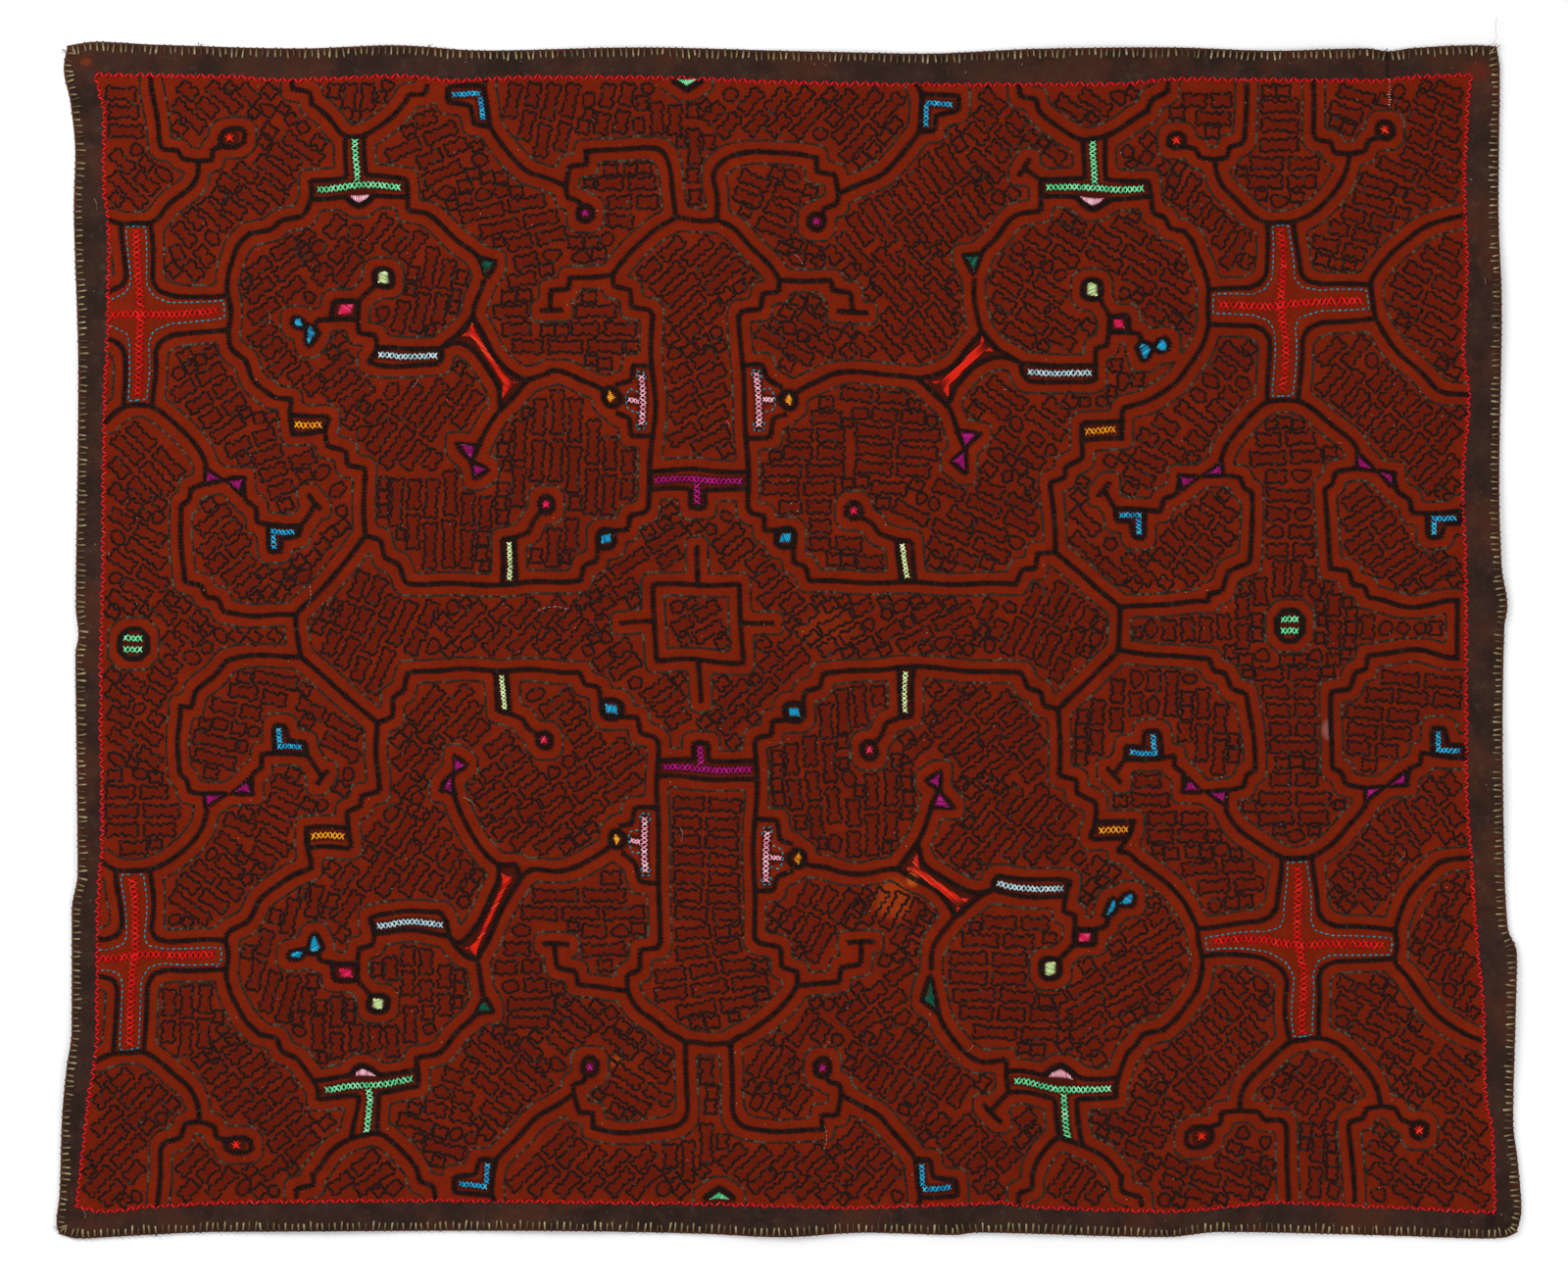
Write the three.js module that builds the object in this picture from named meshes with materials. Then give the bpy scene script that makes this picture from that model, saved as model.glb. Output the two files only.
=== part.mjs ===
// Embroidered cotton cloth, lying flat and face up.
// Units are millimetres, +Z is up, +Y is the top of the cloth as it is looked at, and the
// middle of its underside is on z = 0. The cloth is one piece of cotton whose edge is turned
// over and sewn down, so the turned hem is the thicker rim of the same solid.
import * as THREE from "three";

// Sizes of the cloth
const clothThickness = 1.6;   // one layer of heavy hand-woven cotton with its embroidery
const hemThickness = 3.2;     // where the edge is turned over twice
const hemWidth = 10;          // width of the turned part
const hemStep = 5;            // run over which the hem falls back to one layer
const edgeRound = 1.1;        // rounding of the folded edge
const foldLow = 0.32;         // where the outer face of the fold starts, as a share of the hem
const foldHigh = 0.68;        // and where it ends

// How closely the sheet is divided
const cellsAlong = 44;        // across the width, between the two hems
const cellsUp = 36;           // across the height, between the two hems

// The lie of the cloth: flat over the middle and at the corners, with low ripples along the sides
const rippleReach = 150;      // how far in from an edge the ripples run
const rippleHeight = 2.2;     // highest ripple
const rippleLength = 240;     // from one crest to the next
const rippleShift = { right: 0.6, left: 2.2, top: 1.4, bottom: 3.1 };
const cornerFlat = 60;        // the cloth lies flat this near to a corner
const cornerRise = 120;       // and the ripples have their full height this much further on

// The four sides as they were measured, one row for each station along the side. A side runs
// along its first column, and the second one is where the edge is there. Neighbouring sides
// share the row of their corner.
const topSide = [
  { x: -736, y: 606.5 }, { x: -707, y: 610.4 }, { x: -645, y: 607.3 }, { x: -496, y: 603.5 },
  { x: -403, y: 606.5 }, { x: -312, y: 601.4 }, { x: -151, y: 604.3 }, { x: 45, y: 599.7 },
  { x: 133, y: 598.1 }, { x: 255, y: 603 }, { x: 385, y: 604.5 }, { x: 499, y: 601 },
  { x: 590, y: 603.3 }, { x: 612, y: 600.5 }, { x: 634, y: 603.6 }, { x: 700, y: 606.8 },
  { x: 722, y: 605.5 },
];
const bottomSide = [
  { x: -744.5, y: -605.5 }, { x: -727, y: -610.4 }, { x: -660, y: -607 }, { x: -583, y: -603.7 },
  { x: -265, y: -602.4 }, { x: -90, y: -605.5 }, { x: -8, y: -609 }, { x: 75, y: -604.5 },
  { x: 171, y: -606.8 }, { x: 190, y: -604.3 }, { x: 384, y: -609 }, { x: 441, y: -603.6 },
  { x: 629, y: -608 }, { x: 710, y: -610.5 }, { x: 731, y: -609.5 }, { x: 742.5, y: -604.5 },
];
const leftSide = [
  { y: -605.5, x: -744.5 }, { y: -595, x: -747.4 }, { y: -563, x: -744 }, { y: -495, x: -742 },
  { y: -437, x: -736.8 }, { y: -399, x: -731.7 }, { y: -277, x: -731.7 }, { y: -237, x: -725.5 },
  { y: -14, x: -727.8 }, { y: 5, x: -724.6 }, { y: 33, x: -727.3 }, { y: 276, x: -724.8 },
  { y: 441, x: -729.5 }, { y: 493, x: -728 }, { y: 548, x: -733 }, { y: 583, x: -740 },
  { y: 606.5, x: -736 },
];
const rightSide = [
  { y: -604.5, x: 742.5 }, { y: -582, x: 747.4 }, { y: -531, x: 743.6 }, { y: -492, x: 739 },
  { y: -390, x: 741 }, { y: -319, x: 742.7 }, { y: -294, x: 733.5 }, { y: -227, x: 730 },
  { y: -109, x: 728 }, { y: 13, x: 730 }, { y: 34, x: 733 }, { y: 75, x: 727 },
  { y: 142, x: 724.7 }, { y: 340, x: 727 }, { y: 441, x: 724 }, { y: 581, x: 725.3 },
  { y: 605.5, x: 722 },
];

// A point on a side: a cubic that keeps to the measured rows and never overshoots them.
function onSide(side, run, across, share) {
  const first = side[0][run];
  const last = side[side.length - 1][run];
  const at = first + (last - first) * share;
  let k = 0;
  while (k < side.length - 2 && at > side[k + 1][run]) k += 1;
  const gap = (i) => side[i + 1][run] - side[i][run];
  const slope = (i) => (side[i + 1][across] - side[i][across]) / gap(i);
  const tangent = (i) => {
    if (i === 0) return slope(0);
    if (i === side.length - 1) return slope(i - 1);
    const before = slope(i - 1);
    const after = slope(i);
    return before * after <= 0 ? 0 : (2 * before * after) / (before + after);
  };
  const h = gap(k);
  const t = (at - side[k][run]) / h;
  const value =
    side[k][across] * (2 * t ** 3 - 3 * t ** 2 + 1) +
    side[k + 1][across] * (3 * t ** 2 - 2 * t ** 3) +
    h * (tangent(k) * (t ** 3 - 2 * t ** 2 + t) + tangent(k + 1) * (t ** 3 - t ** 2));
  return run === "x" ? new THREE.Vector2(at, value) : new THREE.Vector2(value, at);
}

// The place of a point of the cloth, from its shares of the width and the height.
function planform(u, v) {
  const top = onSide(topSide, "x", "y", u);
  const bottom = onSide(bottomSide, "x", "y", u);
  const left = onSide(leftSide, "y", "x", v);
  const right = onSide(rightSide, "y", "x", v);
  const corner = (side, end, run, across) => {
    const row = end ? side[side.length - 1] : side[0];
    return run === "x" ? [row[run], row[across]] : [row[across], row[run]];
  };
  const [x00, y00] = corner(bottomSide, false, "x", "y");
  const [x10, y10] = corner(bottomSide, true, "x", "y");
  const [x01, y01] = corner(topSide, false, "x", "y");
  const [x11, y11] = corner(topSide, true, "x", "y");
  const mix = (a, b, c, d) =>
    (1 - u) * (1 - v) * a + u * (1 - v) * b + (1 - u) * v * c + u * v * d;
  return new THREE.Vector2(
    (1 - v) * bottom.x + v * top.x + (1 - u) * left.x + u * right.x - mix(x00, x10, x01, x11),
    (1 - v) * bottom.y + v * top.y + (1 - u) * left.y + u * right.y - mix(y00, y10, y01, y11),
  );
}

const smooth = (t) => {
  const c = Math.min(1, Math.max(0, t));
  return c * c * (3 - 2 * c);
};

const width = bottomSide[bottomSide.length - 1].x - bottomSide[0].x;
const height = topSide[0].y - bottomSide[0].y;

// How far the cloth stands off the surface it lies on, never below it.
function lift(p) {
  const toSide = width / 2 - Math.abs(p.x);
  const toEnd = height / 2 - Math.abs(p.y);
  const wave = (run, shift) => 0.5 - 0.5 * Math.cos((2 * Math.PI * run) / rippleLength + shift);
  const sideShift = p.x > 0 ? rippleShift.right : rippleShift.left;
  const endShift = p.y > 0 ? rippleShift.top : rippleShift.bottom;
  const fromSide = smooth(1 - toSide / rippleReach) * wave(p.y, sideShift);
  const fromEnd = smooth(1 - toEnd / rippleReach) * wave(p.x, endShift);
  const ripple = Math.max(fromSide, fromEnd);
  return rippleHeight * ripple * smooth((Math.hypot(toSide, toEnd) - cornerFlat) / cornerRise);
}

// Thickness by distance from the edge: the rounded fold, the hem, then one layer.
function thickness(fromEdge) {
  const hemShare = 1 - smooth((fromEdge - hemWidth) / hemStep);
  return clothThickness + (hemThickness - clothThickness) * hemShare;
}

// Shares of a side at which the sheet is divided: close together over the hem.
function stations(cells, length) {
  const hemLines = [0, edgeRound, hemWidth * 0.5, hemWidth, hemWidth + hemStep];
  const low = hemLines.map((d) => d / length);
  const start = low[low.length - 1];
  const middle = [];
  for (let i = 1; i < cells; i += 1) middle.push(start + ((1 - 2 * start) * i) / cells);
  return [...low, ...middle, ...low.map((s) => 1 - s).reverse()];
}

function makeCloth() {
  const us = stations(cellsAlong, width);
  const vs = stations(cellsUp, height);
  const positions = [];
  const triangles = [];
  const add = (x, y, z) => positions.push(x, y, z) / 3 - 1;
  const grid = (heightAt) => us.map((u) => vs.map((v) => {
    const p = planform(u, v);
    const fromEdge = Math.min(u * width, (1 - u) * width, v * height, (1 - v) * height);
    return add(p.x, p.y, heightAt(p, fromEdge));
  }));
  const top = grid((p, d) => {
    const fold = d === 0 ? hemThickness * foldHigh : thickness(d);
    return lift(p) + fold;
  });
  const under = grid((p, d) => lift(p) + (d === 0 ? hemThickness * foldLow : 0));
  const cell = (face, i, j) =>
    [face[i][j], face[i + 1][j], face[i + 1][j + 1], face[i][j + 1]];
  const lastU = us.length - 1;
  const lastV = vs.length - 1;
  for (let i = 0; i < lastU; i += 1) {
    for (let j = 0; j < lastV; j += 1) {
      const [a, b, c, d] = cell(top, i, j);
      triangles.push(a, b, c, a, c, d);
      const [e, f, g, h] = cell(under, i, j);
      triangles.push(e, g, f, e, h, g);
    }
  }
  const rim = [];
  for (let i = 0; i < lastU; i += 1) rim.push([i, 0]);
  for (let j = 0; j < lastV; j += 1) rim.push([lastU, j]);
  for (let i = lastU; i > 0; i -= 1) rim.push([i, lastV]);
  for (let j = lastV; j > 0; j -= 1) rim.push([0, j]);
  rim.forEach(([i, j], k) => {
    const [m, n] = rim[(k + 1) % rim.length];
    triangles.push(under[i][j], under[m][n], top[m][n], under[i][j], top[m][n], top[i][j]);
  });
  const geometry = new THREE.BufferGeometry();
  geometry.setAttribute("position", new THREE.Float32BufferAttribute(positions, 3));
  geometry.setIndex(triangles);
  geometry.computeVertexNormals();
  return geometry;
}

const cotton = new THREE.MeshStandardMaterial({ color: 0x7a2a12, roughness: 0.95, metalness: 0 });
cotton.name = "cotton";

const cloth = new THREE.Mesh(makeCloth(), cotton);
cloth.name = "cloth";

const part = new THREE.Group();
part.name = "embroidered_cloth";
part.add(cloth);

export default part;
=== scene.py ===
"""Embroidered cotton cloth, lying flat and seen from straight above."""

import itertools
import math
from collections import namedtuple

import bpy
import numpy as np
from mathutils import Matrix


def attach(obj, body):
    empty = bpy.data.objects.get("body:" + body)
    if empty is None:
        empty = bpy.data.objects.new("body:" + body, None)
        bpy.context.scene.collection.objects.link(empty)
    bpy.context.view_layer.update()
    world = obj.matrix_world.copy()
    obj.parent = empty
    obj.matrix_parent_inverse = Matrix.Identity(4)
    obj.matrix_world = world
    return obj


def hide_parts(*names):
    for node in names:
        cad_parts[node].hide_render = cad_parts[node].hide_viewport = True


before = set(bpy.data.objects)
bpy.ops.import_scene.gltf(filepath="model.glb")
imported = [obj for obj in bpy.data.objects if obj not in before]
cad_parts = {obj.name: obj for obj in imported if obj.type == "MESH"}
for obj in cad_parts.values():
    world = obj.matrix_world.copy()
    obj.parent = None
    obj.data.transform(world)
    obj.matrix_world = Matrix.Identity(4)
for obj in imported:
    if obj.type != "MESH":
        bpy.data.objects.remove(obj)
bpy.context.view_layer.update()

MM = 0.001  # the tables and sizes below are in millimetres

# The cloth's own measures

CLOTH_THICK = 1.6
HEM_THICK = 3.2
HEM_WIDE = 10.0
HEM_STEP = 5.0        # from the hem down to the single cloth
EDGE_ROUND = 1.1
# Low waves along the edges: how far in they reach, height, length, and shifts
RIPPLE_REACH = 150.0
RIPPLE_HIGH = 2.2
RIPPLE_LONG = 240.0
RIPPLE_SHIFT = {"right": 0.6, "left": 2.2, "top": 1.4, "bottom": 3.1}
CORNER_FLAT = 60.0    # the corners lie flat this far round,
CORNER_RISE = 120.0   # and the waves are full after this much more

# Outline of the cloth and of its rust panel, from the middle of the cloth. A side runs along its
# first column, and the second one is where the edge is there.
CLOTH = {
    "top": [
        (-736, 606.5), (-707, 610.4), (-645, 607.3), (-496, 603.5), (-403, 606.5), (-312, 601.4),
        (-151, 604.3), (45, 599.7), (133, 598.1), (255, 603), (385, 604.5), (499, 601), (590, 603.3),
        (612, 600.5), (634, 603.6), (700, 606.8), (722, 605.5),
    ],
    "bottom": [
        (-744.5, -605.5), (-727, -610.4), (-660, -607), (-583, -603.7), (-265, -602.4), (-90, -605.5),
        (-8, -609), (75, -604.5), (171, -606.8), (190, -604.3), (384, -609), (441, -603.6), (629, -608),
        (710, -610.5), (731, -609.5), (742.5, -604.5),
    ],
    "left": [
        (-605.5, -744.5), (-595, -747.4), (-563, -744), (-495, -742), (-437, -736.8), (-399, -731.7),
        (-277, -731.7), (-237, -725.5), (-14, -727.8), (5, -724.6), (33, -727.3), (276, -724.8),
        (441, -729.5), (493, -728), (548, -733), (583, -740), (606.5, -736),
    ],
    "right": [
        (-604.5, 742.5), (-582, 747.4), (-531, 743.6), (-492, 739), (-390, 741), (-319, 742.7),
        (-294, 733.5), (-227, 730), (-109, 728), (13, 730), (34, 733), (75, 727), (142, 724.7),
        (340, 727), (441, 724), (581, 725.3), (605.5, 722),
    ],
}
PANEL = {
    "top": [
        (-709, 577.5), (-561, 575), (-515, 572.3), (-389, 576), (-341, 571.3), (-264, 575), (-118, 574),
        (6, 569.4), (115, 567.5), (286, 567.5), (344, 568.5), (395, 573), (604, 571.3), (624, 574.2),
        (698, 578),
    ],
    "bottom": [
        (-728, -579), (-698, -583.6), (-650, -579), (-535, -574), (-389, -573), (-98, -576), (75, -580),
        (218, -575), (247, -579), (393, -583.5), (504, -574.3), (595, -579), (721, -585),
    ],
    "left": [
        (-579, -727.7), (-510, -720), (-466, -715), (-409, -707), (-275, -706), (-196, -701.4),
        (-54, -703), (84, -700.5), (226, -699.5), (313, -695.7), (422, -695), (460, -699.5),
        (531, -699.5), (577, -708.5),
    ],
    "right": [
        (-585, 721.3), (-510, 719), (-457, 711), (-380, 709), (-313, 703.3), (-215, 696.6), (-148, 691.8),
        (33, 692), (161, 688.3), (247, 694.7), (295, 689), (383, 692.7), (450, 690.3), (539, 693),
        (578, 697),
    ],
}

# The embroidered pattern

# The pattern is drawn for one quarter, as millimetres to the right of and above the middle of
# the great cross, and is mirrored from quarter to quarter.
QUARTER_WIDE = 604
QUARTER_HIGH = 551
Ring = namedtuple("Ring", "x y half past", defaults=[False])
Area = namedtuple("Area", "thread lie corners past", defaults=[False])
Knot = namedtuple("Knot", "thread x y half past", defaults=[False])
Row = namedtuple("Row", "thread wide path past", defaults=[False])
Run = namedtuple("Run", "path past", defaults=[False])
STEPPED_LINES = {
    "great cross": [
        (54, 311), (54, 117), (58, 112), (71, 110), (72, 94), (101, 93), (104, 88), (104, 62), (117, 58),
        (120, 43), (325, 42), (331, 56), (346, 58), (348, 72), (365, 75), (426, 17), (426, 0),
    ],
    "heart square": [(0, 38.5), (45, 38.5), (45, 0)],
    "heart tick up": [(0, 38.5), (0, 77)],
    "heart tick across": [(45, 0), (77, 0)],
    "crossbar above purple": [(0, 155), (54, 155)],
    "crossbar under purple": [(54, 137), (8, 136.5), (8, 119), (0, 118)],
    "mushroom top": [(0, 413), (33, 413)],
    "mushroom steps": [(99, 351), (98, 339), (79, 336), (77, 320), (58, 317), (54, 311)],
    "mushroom arm": [(99, 351), (149, 349), (149, 338), (168, 336), (168, 318)],
    "mushroom arm foot": [(154, 318), (182, 317)],
    "pink box upper": [(54, 263), (76, 262), (79, 247), (93, 241)],
    "pink box lower": [(94, 214), (81, 211), (78, 191), (54, 190)],
    "post steps": [(131, 475), (131, 461), (151, 458), (155, 437), (154, 426), (142, 422), (140, 416)],
    "blue corner side": [(240, 502), (244, 538), (238, 551)],
    "blue corner box": [(244, 538), (282, 540), (282, 524), (259, 519), (256, 503), (240, 502)],
    "yellow box": [(207, 88), (221, 87), (224, 43)],
    "yellow box side": [(207, 88), (209, 43)],
    "magenta link": [(173, 109), (184, 102), (190, 92), (207, 88)],
    "pale blue box top": [(336, 263.5), (411, 263.5)],
    "pale blue box": [
        (336, 263.5), (337, 254), (343, 247), (400, 246), (412, 249), (413, 281), (426, 284), (427, 297),
        (460, 296), (463, 284),
    ],
    "magenta box": [(427, 297), (428, 313), (448, 313), (449, 297)],
    "knot link": [(418, 330), (428, 313)],
    "mint box left": [(348, 419), (364, 420.5), (364.6, 436), (366, 453), (410, 454), (409, 494)],
    "fork stem": [(366, 453), (349, 462)],
    "fork foot": [(355, 472), (343, 456)],
    "mint box under": [(364.6, 436), (401, 435), (417, 423), (434, 435), (473, 436)],
    "mint box right": [
        (431, 495), (430, 454), (470, 453), (473, 436), (475, 418), (487, 414), (492, 403), (506, 399),
    ],
    "orange box": [
        (437.5, 205), (403, 206), (399, 203), (398, 168), (380.5, 161), (380, 149), (364, 145), (365, 75),
    ],
    "orange box under": [(399, 187.5), (437.5, 187.5)],
    "orange box side": [(441, 220), (438, 216), (437.5, 187.5)],
    "crown left": [(343, 551), (345, 539), (360, 537), (363, 525)],
    "crown right": [(472, 521), (477, 533), (492, 541), (493, 551)],
    "column": [
        (571, 551), (570, 494), (567, 489), (554, 486), (551, 475), (537, 472), (522, 473.5), (518, 483),
        (507, 486),
    ],
    "red cross box upper": [(589, 407), (589, 356), (584, 347), (571, 341.5), (533, 340)],
    "red cross box lower": [(532, 304), (574, 304), (584, 298.6), (589, 288.6), (589.5, 227.5)],
    "side unit": [
        (537.8, 153), (557.8, 149.4), (560.4, 138), (569, 133.6), (565, 55.6), (545, 54), (540, 38.4),
        (527, 34), (522.6, 21), (425, 16.5),
    ],
    "side blue box": [(427.7, 118.8), (476.4, 116), (478.3, 128), (492, 133), (496, 150)],
    "side blue box under": [
        (427.7, 118.8), (428, 106), (444, 106), (446, 91.5), (457, 90), (460, 93), (461, 117),
    ],
    "side fork stem": [(427.7, 118.8), (418, 137)],
    "side fork foot": [(424, 144), (412, 132)],
    "mint drop": [(16, 551), (0, 541)],
}
CURVED_LINES = {
    "mushroom brow": [(33, 413), (50, 401), (63, 387), (81, 373), (92, 362), (99, 351)],
    "post": [(33, 413), (36, 446), (38, 461), (44, 474), (54, 480), (80, 481), (107, 479), (131, 475)],
    "brow arc": [(155, 437), (180, 449), (200, 459), (219, 475), (231, 489), (240, 502)],
    "lobe arc": [
        (105, 233), (116, 240), (131, 247), (145, 253), (160, 256), (181, 257), (212, 255), (232, 251),
        (245, 252.5), (260, 258.5), (274, 268), (289, 286), (299, 297),
    ],
    "lobe side": [(232, 251), (245, 239), (259, 226), (265, 217), (271, 197)],
    "hourglass side": [(262, 224), (268, 240), (280, 254), (296, 265.5), (315, 271), (332, 266)],
    "cradle": [(299, 297), (307, 287), (318, 276), (336, 263.5)],
    "great lobe left": [(299, 297), (295, 312), (292, 334), (294, 352)],
    "great lobe brow": [(301, 378), (306, 385), (315, 393), (329, 409), (340, 417), (348, 419)],
    "great lobe shoulder": [
        (506, 399), (515, 387), (521, 373), (527, 360), (532, 343), (532, 324), (532, 304),
    ],
    "great lobe right": [
        (532, 304), (528, 292), (523, 281), (512, 264), (498, 248), (482, 237), (464, 226), (441, 220),
    ],
    "crown bowl": [
        (363, 525), (373, 513.6), (387, 503.6), (405, 495), (421, 495), (436, 499), (454, 511),
        (472, 521),
    ],
    "bowl": [(537, 472), (539, 458), (546, 443), (560, 428), (574, 415), (589, 408), (604, 407.5)],
    "arch": [(604, 229), (589, 227), (574, 217), (559, 201), (544, 182), (538, 170)],
}
# Lines that are drawn again past the outer axes, where the panel still goes on. Past the right
# one there is more room.
LINES_PAST = {
    "red cross box upper": "both", "red cross box lower": "both", "bowl": "both",
    "arch": "both", "column": "right", "side unit": "right", "side blue box": "right",
    "side blue box under": "right", "side fork stem": "right", "side fork foot": "right",
}
# Edges of the great lobes that follow past the right axis, drawn above it and mirrored below
FAR_LINES = {
    "far lobe": [
        (790, 414), (740, 400), (712, 382), (690, 362), (677, 345), (675, 324), (677, 304), (690, 285),
        (712, 265), (735, 248), (758, 235), (794, 232),
    ],
    "far arm end": [(783, 17), (783, 0)],
}
# Lines that were sewn in the two right quarters alone
LINES_RIGHT = {"fork stem", "fork foot"}
# Small black boxes round the knots
RINGS = [
    Ring(165, 116, 8.5), Ring(95, 85, 10), Ring(99, 228, 8.5), Ring(135, 408, 8), Ring(500, 493, 8, True),
    Ring(410, 339.5, 9.5), Ring(604, 0, 13, True),
]
# Coloured triangles, closed in by black ones
TRIANGLES = [
    Area("bottle_green", 60, [(285, 375), (301, 378), (293.5, 359)]),
    Area("purple", 0, [(272, 195), (291, 194), (278, 181)]),
    Area("purple", 60, [(278, 177), (264, 165), (277, 156)]),
    Area("purple", 60, [(496, 150), (514, 151), (498, 138)], True),
    Area("purple", 60, [(522, 153), (538, 166), (538, 153)], True),
    Area("turquoise", 30, [
        (457.5, 283), (462, 287), (470, 286.5), (473.5, 282), (467, 273), (461.5, 271.5),
    ]),
    Area("turquoise", 30, [(476, 282), (482, 289), (488.5, 291), (491.5, 285), (489.5, 279), (482, 278)]),
]
# Other small areas filled with laid stitches; lie is the direction of the stitches
PATCHES = [
    Area("pink", 80, [(405, 436), (427, 436), (423, 430), (416, 426), (409, 430)]),
    Area("scarlet", 41, [
        (299, 294), (311, 277), (300, 277), (265, 246), (263, 231), (247, 247), (258, 250), (297, 285),
    ]),
    Area("mint", 70, [(-12, 553), (12, 553), (0, 544)]),
    Area("lime", 20, [
        (403.5, 334), (404.5, 345.5), (411, 346.5), (416.5, 344.5), (416, 334), (410, 333),
    ]),
    Area("magenta", 35, [(431.5, 300.5), (431.5, 310), (443.5, 310), (443.5, 300.5)]),
    Area("turquoise", 70, [(89, 80), (90, 91), (101, 90), (100, 79)]),
    Area("orange", 15, [(94, 228), (101, 235), (105, 228), (101, 222)]),
]
# Small crosses of a few long stitches
KNOTS = [
    Knot("magenta", 165, 116, 4.4),
    Knot("purple", 135, 408, 4.2),
    Knot("scarlet", 500, 493, 5.2, True),
]
# Rows of crossed stitches
ROWS = [
    Row("mint", 8.6, [(372, 445), (466, 445)]),
    Row("mint", 8.4, [(419, 493), (419, 449)]),
    Row("mint", 8.5, [(595, 5), (613, 5)], True),
    Row("pink", 8.2, [(67.8, 202), (67.8, 254)]),
    Row("pink", 6.5, [(72, 228), (83, 228)]),
    Row("purple", 8.6, [(0, 145.5), (48, 145.5)]),
    Row("purple", 8.6, [(0, 141), (0, 122)]),
    Row("pale_blue", 8, [(343, 255.5), (408, 255.5)]),
    Row("orange", 8.8, [(403, 196.5), (432, 196.5)]),
    Row("lime", 6.4, [(212.5, 84), (216, 47)]),
    Row("crimson", 11, [(604, 238), (604, 402)], True),
    Row("crimson", 11, [(542, 324), (604, 324)], True),
    Row("turquoise", 7, [(248, 530), (276, 530.5)]),
    Row("turquoise", 7, [(248.5, 527), (247, 507)]),
    Row("turquoise", 7, [(432, 111.5), (457, 111.5)], True),
    Row("turquoise", 7, [(453.5, 108), (453.5, 94)], True),
]
# Running stitches round the red crosses and the pink bars
TEAL_LINES = [
    Run([
        (604, 405), (594.5, 404), (594.5, 352), (588, 341), (575, 335.5), (537, 335), (537, 315),
        (575, 315), (590, 309), (594, 299), (594.5, 233), (604, 233),
    ], True),
    Run([(62.5, 250), (63, 256.5), (72, 256.5), (73, 249)]),
    Run([(62.5, 206), (63, 198), (72, 198), (73, 206)]),
    Run([(72, 237), (81, 239), (85, 231), (84, 221), (80, 218), (72, 216)]),
]

# Direction of the rows of small filling motifs in each field, in degrees from level
Field = namedtuple("Field", "x y lie")
FILLING = [Field(*row) for row in [
    (-680, 548, 0), (-595, 548, -40), (-665, 473, -42), (-605, 403, -48), (-545, 463, -35),
    (-440, 553, 85), (-375, 503, 24), (-445, 398, 52), (-525, 353, 38), (-375, 333, 78), (-465, 298, 40),
    (-235, 538, 78), (-25, 543, 48), (-97, 468, 90), (-165, 463, 0), (-25, 463, -22), (-295, 453, 12),
    (-205, 313, 0), (-105, 383, 42), (-100, 233, 30), (-5, 313, -30), (95, 533, 48), (225, 533, -40),
    (145, 463, -55), (95, 343, -48), (310, 553, -35), (345, 503, 45), (305, 403, -32), (345, 268, 85),
    (425, 543, 0), (500, 533, 0), (575, 553, -20), (655, 503, -25), (580, 423, -15), (425, 443, 57),
    (655, 353, -28), (-655, 193, -45), (-670, 93, -30), (-595, 263, 32), (-515, 188, 22), (-455, 123, 42),
    (-580, 93, 40), (-505, 63, 45), (-385, 223, 55), (-375, 123, 88), (-455, 33, 65), (-245, 213, 88),
    (-190, 113, 88), (-140, 93, 35), (-45, 93, 40), (-93, 18, 30), (-265, 13, 45), (15, 183, 0),
    (15, 263, -30), (95, 213, -4), (180, 123, -25), (235, 213, -38), (355, 203, -28), (325, 83, -42),
    (95, 13, 30), (275, 13, 62), (435, 253, -38), (505, 203, 3), (510, 113, 0), (615, 233, 48),
    (415, 103, -38), (595, 93, 36), (395, 16, 90), (625, 16, 90), (475, 48, 90), (545, 48, 90),
    (-665, -67, -32), (-655, -187, 0), (-565, -87, -12), (-465, -107, -30), (-515, -187, -28),
    (-585, -247, -35), (-605, 3, -40), (-375, -107, 48), (-385, -227, 55), (-245, -147, 36),
    (-85, -207, -3), (-205, -277, 0), (15, -167, 95), (25, -267, 58), (-140, -52, 35), (-35, -57, 42),
    (75, -197, 90), (195, -87, 40), (205, -197, 50), (365, -67, 88), (375, -167, 0), (405, -247, 3),
    (435, -87, 88), (510, -67, 0), (520, -177, 0), (615, -87, -5), (660, -177, -52), (585, -237, -38),
    (115, -277, 60), (-535, -327, 75), (-445, -397, 90), (-375, -317, 90), (-625, -377, 88),
    (-555, -447, 38), (-675, -487, 45), (-495, -507, 38), (-590, -547, 45), (-435, -547, 40),
    (-365, -497, -15), (-275, -347, 3), (-205, -397, -38), (-285, -457, -38), (-90, -367, 8),
    (-165, -467, -32), (-80, -457, 90), (-5, -427, 58), (-205, -542, 45), (-5, -542, 42), (95, -540, 48),
    (205, -347, -2), (345, -347, 32), (75, -347, 38), (135, -437, 55), (195, -517, 42), (340, -497, -25),
    (405, -417, -45), (295, -547, 55), (425, -542, -22), (525, -457, 58), (540, -537, 85),
    (605, -387, -28), (675, -337, 60), (665, -467, -38), (615, -537, -35),
]]

# Where the axes of the quarters really lie on the cloth. The rows go from the bottom of the
# cloth to its top, and the columns from its left to its right.
AXES_X = [[-671, -78, 535], [-672, -95, 511], [-672, -111, 499]]
AXES_Y = [[-569, -569, -569], [-2, 17, 16], [568, 568, 568]]
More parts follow.
